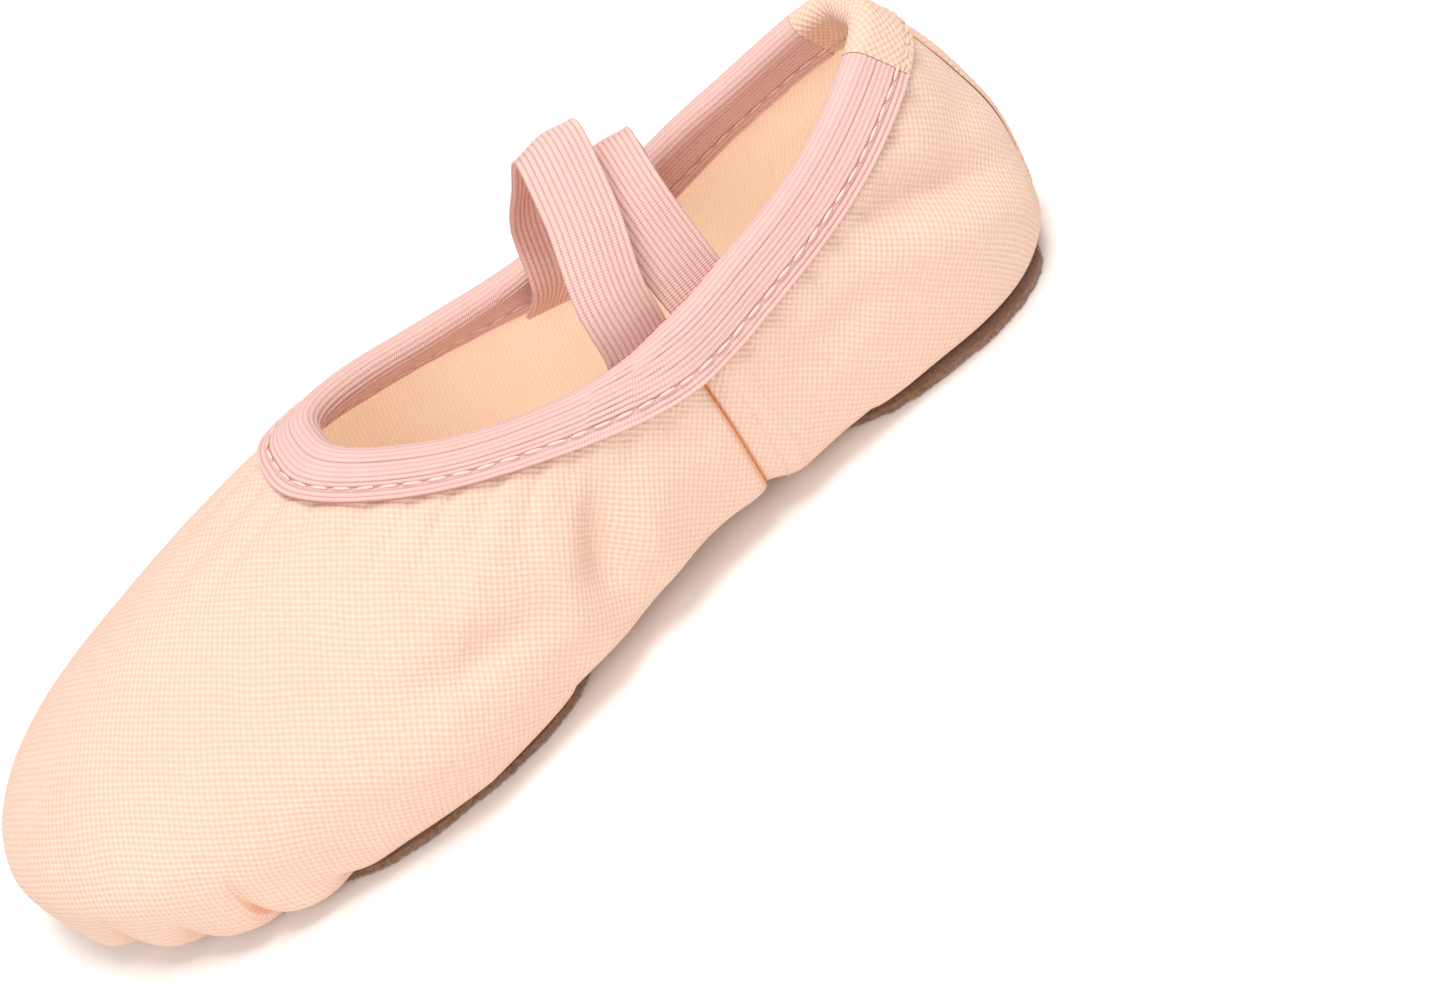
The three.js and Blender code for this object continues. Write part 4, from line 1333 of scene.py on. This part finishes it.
@dataclass
class SolePatch:
    """A split-suede sole patch with a raw edge, sewn on with two rows."""

    name: str
    node: str
    sole: SoleShape
    suede: float = 1.6
    insets: tuple[float, float] = (4.6, 8.6)
    pitch: float = 5.4
    seed: int = 1
    edge_points: int = 520
    ravel: tuple[float, float] = (0.34, 0.3)
    thread_radius: float = 0.24
    hole_radius: float = 0.62

    def outline(self, inset: float, count: int) -> Array:
        """Points round the patch, an inset inside its edge."""
        angle = np.linspace(0, 2 * math.pi, count, endpoint=False)
        reach = self.sole.length / 2 - inset
        x = self.sole.rear + self.sole.length / 2 + reach * np.cos(angle)
        y = FORM.centre(x) + self.sole.shift + np.sign(np.sin(angle)) * self.sole.half(x, inset)
        ring = np.column_stack([x, y])
        closed = np.concatenate([ring, ring[:1]])
        return points_along(closed, count=count, closed=True)

    def build(self, suede: bpy.types.Material, thread: bpy.types.Material) -> list[bpy.types.Object]:
        """The patch and its stitches."""
        edge = self.outline(0, self.edge_points)
        centre = edge.mean(0)
        count = np.arange(self.edge_points)
        fine, slow = self.ravel
        ravel = fine * wander(count * 0.9, self.seed) + slow * wander(count * 0.13, self.seed + 1)
        out = edge - centre
        edge = edge + out / np.linalg.norm(out, axis=1, keepdims=True) * ravel[:, None]
        lines = [self.outline(inset, 900) for inset in self.insets]
        holes = []
        for line in lines:
            closed = np.concatenate([line, line[:1]])
            holes.append(points_along(closed, np.arange(0, line_length(closed), self.pitch) + self.pitch / 2))
        needle = np.concatenate(holes)

        def near(points: Array, marks: Array, radius: float) -> Array:
            """A bell round the nearest mark."""
            gap = np.min(np.linalg.norm(points[:, None] - marks[None], axis=2), axis=1)
            return bell(gap / radius)

        def shape(points: Array) -> Array:
            """Grain, the grooves under the stitches and the needle holes."""
            grain = 0.10 * wander2(points[:, 0] * 1.1, points[:, 1] * 1.1, self.seed + 3)
            groove = sum(near(points, line[::6], 1.1) for line in lines)
            return np.maximum(0.14 + grain, 0.0) + 0.42 * groove + 0.5 * near(points, needle, 0.7)

        shares = [i / 64 for i in range(1, 65)]
        profile = [(0.0, 0.0, 1.0)] + [(s, 0.0, 1.0) for s in shares]
        profile += [(1.004, 0.5, 0.0), (1.006, 0.85, 0.0), (1.0, 1.2, 0.0), (0.996, self.suede, 0.0)]
        profile += [(0.7, self.suede, 0.0), (0.35, self.suede, 0.0), (0.0, self.suede, 0.0)]
        patch = turned_plate(
            self.name, edge, profile, shape,
            cut=lambda points, row: np.full(len(points), float(row[0] > 0.985 or row[1] > 0.3)),
            # Painted shade round each needle hole, on the shaped face.
            hole=lambda points, row: near(points, needle, self.hole_radius) * row[2],
        )
        dress(patch, suede)
        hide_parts(self.node)
        paths = []
        for line in lines:
            closed = np.concatenate([line, line[:1]])
            paths.append(np.column_stack([closed, np.full(len(closed), 0.30)]))
        stitches = NEEDLE.sew(self.name + "_stitches", paths, thread,
                              self.pitch, self.pitch * 0.74, self.thread_radius, self.seed)
        dress(stitches, thread)
        return [patch, stitches]


@dataclass
class InnerPad:
    """A thin foam pad in cotton cloth, glued inside, with a soft crown and a raw edge."""

    name: str
    node: str
    shape: SoleShape
    level: float = 5.95
    thick: float = 2.0
    seed: int = 21
    ravel: float = 0.22

    def build(self, cloth: bpy.types.Material) -> bpy.types.Object:
        """The pad."""
        angle = np.linspace(0, 2 * math.pi, 300, endpoint=False)
        x = self.shape.rear + self.shape.length / 2 + self.shape.length / 2 * np.cos(angle)
        y = FORM.centre(x) + np.sign(np.sin(angle)) * self.shape.half(x)
        edge = np.column_stack([x, y])
        middle = edge.mean(0)
        out = edge - middle
        edge = edge + out / np.linalg.norm(out, axis=1, keepdims=True) * (
            self.ravel * wander(angle * 28, self.seed))[:, None]

        def crown(points: Array) -> Array:
            """The cloth's soft unevenness."""
            return 0.16 * wander2(points[:, 0] / 9, points[:, 1] / 9, self.seed)

        low = [(0.0, self.level, 0.0)] + [(s, self.level, 0.0) for s in (0.3, 0.6, 0.85, 0.97)]
        side = [(0.995, self.level + 0.35, 0.0),
                (1.0, self.level + 0.8, 0.0), (0.996, self.level + 1.25, 0.0)]
        shares = [1 - i / 40 for i in range(1, 40)]
        top = [(s, self.level + self.thick * (1 - s ** 14) ** 0.5 * 0.25
               + self.thick * 0.72, 1.0) for s in shares]
        piece = turned_plate(self.name, edge,
                             low + side + top + [(0.0, self.level + self.thick * 0.97, 1.0)], crown)
        dress(piece, cloth)
        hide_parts(self.node)
        return piece


# ------------------------------------------------------------------ studio
@dataclass
class Studio:
    """A pale floor, soft white light and the camera."""

    azimuth: float = 7.9
    elevation: float = 39.5
    roll: float = 32.7
    distance: float = 0.353
    target: tuple[float, float, float] = (-0.0255, 0.0516, 0.030)
    lens: float = 51.2
    floor_colour: str = "#FFFDFB"
    fill: float = 0.52
    floor_reach: float = 4000.0
    floor_level: float = -0.15

    def camera(self) -> None:
        """The camera, rolled about its own axis."""
        a, e, r = (math.radians(value) for value in (self.azimuth, self.elevation, self.roll))
        back = Vector((math.sin(a) * math.cos(e), math.cos(a) * math.cos(e), math.sin(e)))
        level = Vector((0, 0, 1)).cross(back).normalized()
        upright = back.cross(level)
        right = level * math.cos(r) - upright * math.sin(r)
        up = back.cross(right)
        place = Vector(self.target) + back * self.distance
        data = bpy.data.cameras.new("camera")
        data.lens, data.sensor_width = self.lens, 36.0
        data.clip_start, data.clip_end = 0.01, 20.0
        camera = bpy.data.objects.new("camera", data)
        turn = Matrix((right, up, back)).transposed().to_4x4()
        camera.matrix_world = Matrix.Translation(place) @ turn
        bpy.context.scene.collection.objects.link(camera)
        bpy.context.scene.camera = camera
        log.info("camera right %s up %s at %s", right[:], up[:], place[:])

    def lamp(self, name: str, place: tuple, aim: tuple, size: float, watts: float, colour: str) -> None:
        """One square soft light."""
        data = bpy.data.lights.new(name, "AREA")
        data.energy, data.size, data.color = watts, size, linear(colour)[:3]
        lamp = bpy.data.objects.new(name, data)
        way = Vector(place) - Vector(aim)
        lamp.matrix_world = Matrix.Translation(place) @ way.to_track_quat("Z", "Y").to_matrix().to_4x4()
        bpy.context.scene.collection.objects.link(lamp)

    def build(self) -> None:
        """Everything round the slipper."""
        self.camera()
        corners = [(-1, -1), (1, -1), (1, 1), (-1, 1)]
        floor = make_object("floor", np.array([
            [a * self.floor_reach, b * self.floor_reach, self.floor_level] for a, b in corners
        ]), [(0, 1, 2, 3)])
        material = bpy.data.materials.new("matt_white_floor")
        material.use_nodes = True
        shader = material.node_tree.nodes["Principled BSDF"]
        shader.inputs["Base Color"].default_value = linear(self.floor_colour)
        shader.inputs["Roughness"].default_value = 0.9
        floor.data.materials.append(material)
        world = bpy.data.worlds.new("studio")
        world.use_nodes = True
        world.node_tree.nodes["Background"].inputs[0].default_value = linear("#FFFFFF")
        world.node_tree.nodes["Background"].inputs[1].default_value = self.fill
        bpy.context.scene.world = world
        self.lamp("key", (-0.15, 0.10, 1.3), (0.0, 0.0, 0.03), 0.6, 11.0, "#FFFDFC")
        self.lamp("front", (0.55, 0.95, 0.85), (0.0, 0.0, 0.03), 0.7, 5.5, "#FFFBF8")
        bpy.context.scene.view_settings.view_transform = "Standard"


def main() -> None:
    """Builds the slipper and its studio."""
    logging.basicConfig(level=logging.INFO, format="%(message)s")
    finishes = {
        "canvas": CANVAS.make(), "lining": LINING.make(), "elastic": ELASTIC.make(), "pad": PAD_CLOTH.make(),
        "suede": SUEDE.make(), "pale_thread": PALE_THREAD.make(), "pink_thread": PINK_THREAD.make(),
    }
    upper = Upper(finishes=finishes)
    topline = Topline(finishes=finishes)
    pieces = [*upper.vamp(), *upper.quarters(), *upper.back_strip(), *upper.seams()]
    pieces += [*topline.elastic_band(), *topline.heel_cap(), *topline.stitches()]
    over_x, under_x = FORM.seam_x + 5.5, FORM.seam_x - 11.2
    straps = (
        InstepStrap("strap_over_ribbon", "strap_over", "over_strap", over_x, FORM.seam_x + 5.0, (
            (-1.5, 0.73, 10.5), (-5.6, 0.49, 22.6),
            (-8.6, 0.15, 31.7), (-9.0, 0.04, 32.6), (-8.7, -0.06, 31.4),
            (-7.4, -0.35, 23.5), (-4.0, -0.675, 11.0))),
        InstepStrap("strap_under_ribbon", "strap_under", "under_strap", under_x, FORM.seam_x - 12.8, (
            (1.6, 0.55, 9.5), (1.4, 0.34, 18.5), (0, 0.02, 23.5), (-1.6, -0.33, 18.5), (-3.2, -0.55, 8.5))),
    )
    pieces += [strap.build(finishes["elastic"]) for strap in straps]
    front = SolePatch("forefoot_sole_patch", "forefoot_outsole", FORM.front_sole, seed=31)
    rear = SolePatch("heel_sole_patch", "heel_outsole", FORM.heel_sole, seed=41)
    for patch, place in ((front, lambda p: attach(p, "forefoot")), (rear, over_arch)):
        made = patch.build(finishes["suede"], finishes["pale_thread"])
        for piece in made:
            place(piece)
        pieces += made
    front_pad = InnerPad("forefoot_inner_pad", "forefoot_pad",
                          SoleShape(-2.0, 86.0, 60.0, 0.14, 2.1), seed=21)
    heel_pad = InnerPad("heel_inner_pad", "heel_pad", SoleShape(-111.0, 40.0, 32.0, -0.06, 2.2), seed=22)
    pads = [front_pad.build(finishes["pad"]), heel_pad.build(finishes["pad"])]
    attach(pads[0], "forefoot")
    over_arch(pads[1])
    pieces += pads
    for piece in pieces:
        log.info("%s: %d faces", piece.name, len(piece.data.polygons))
    Studio().build()


if __name__ == "__main__":
    main()
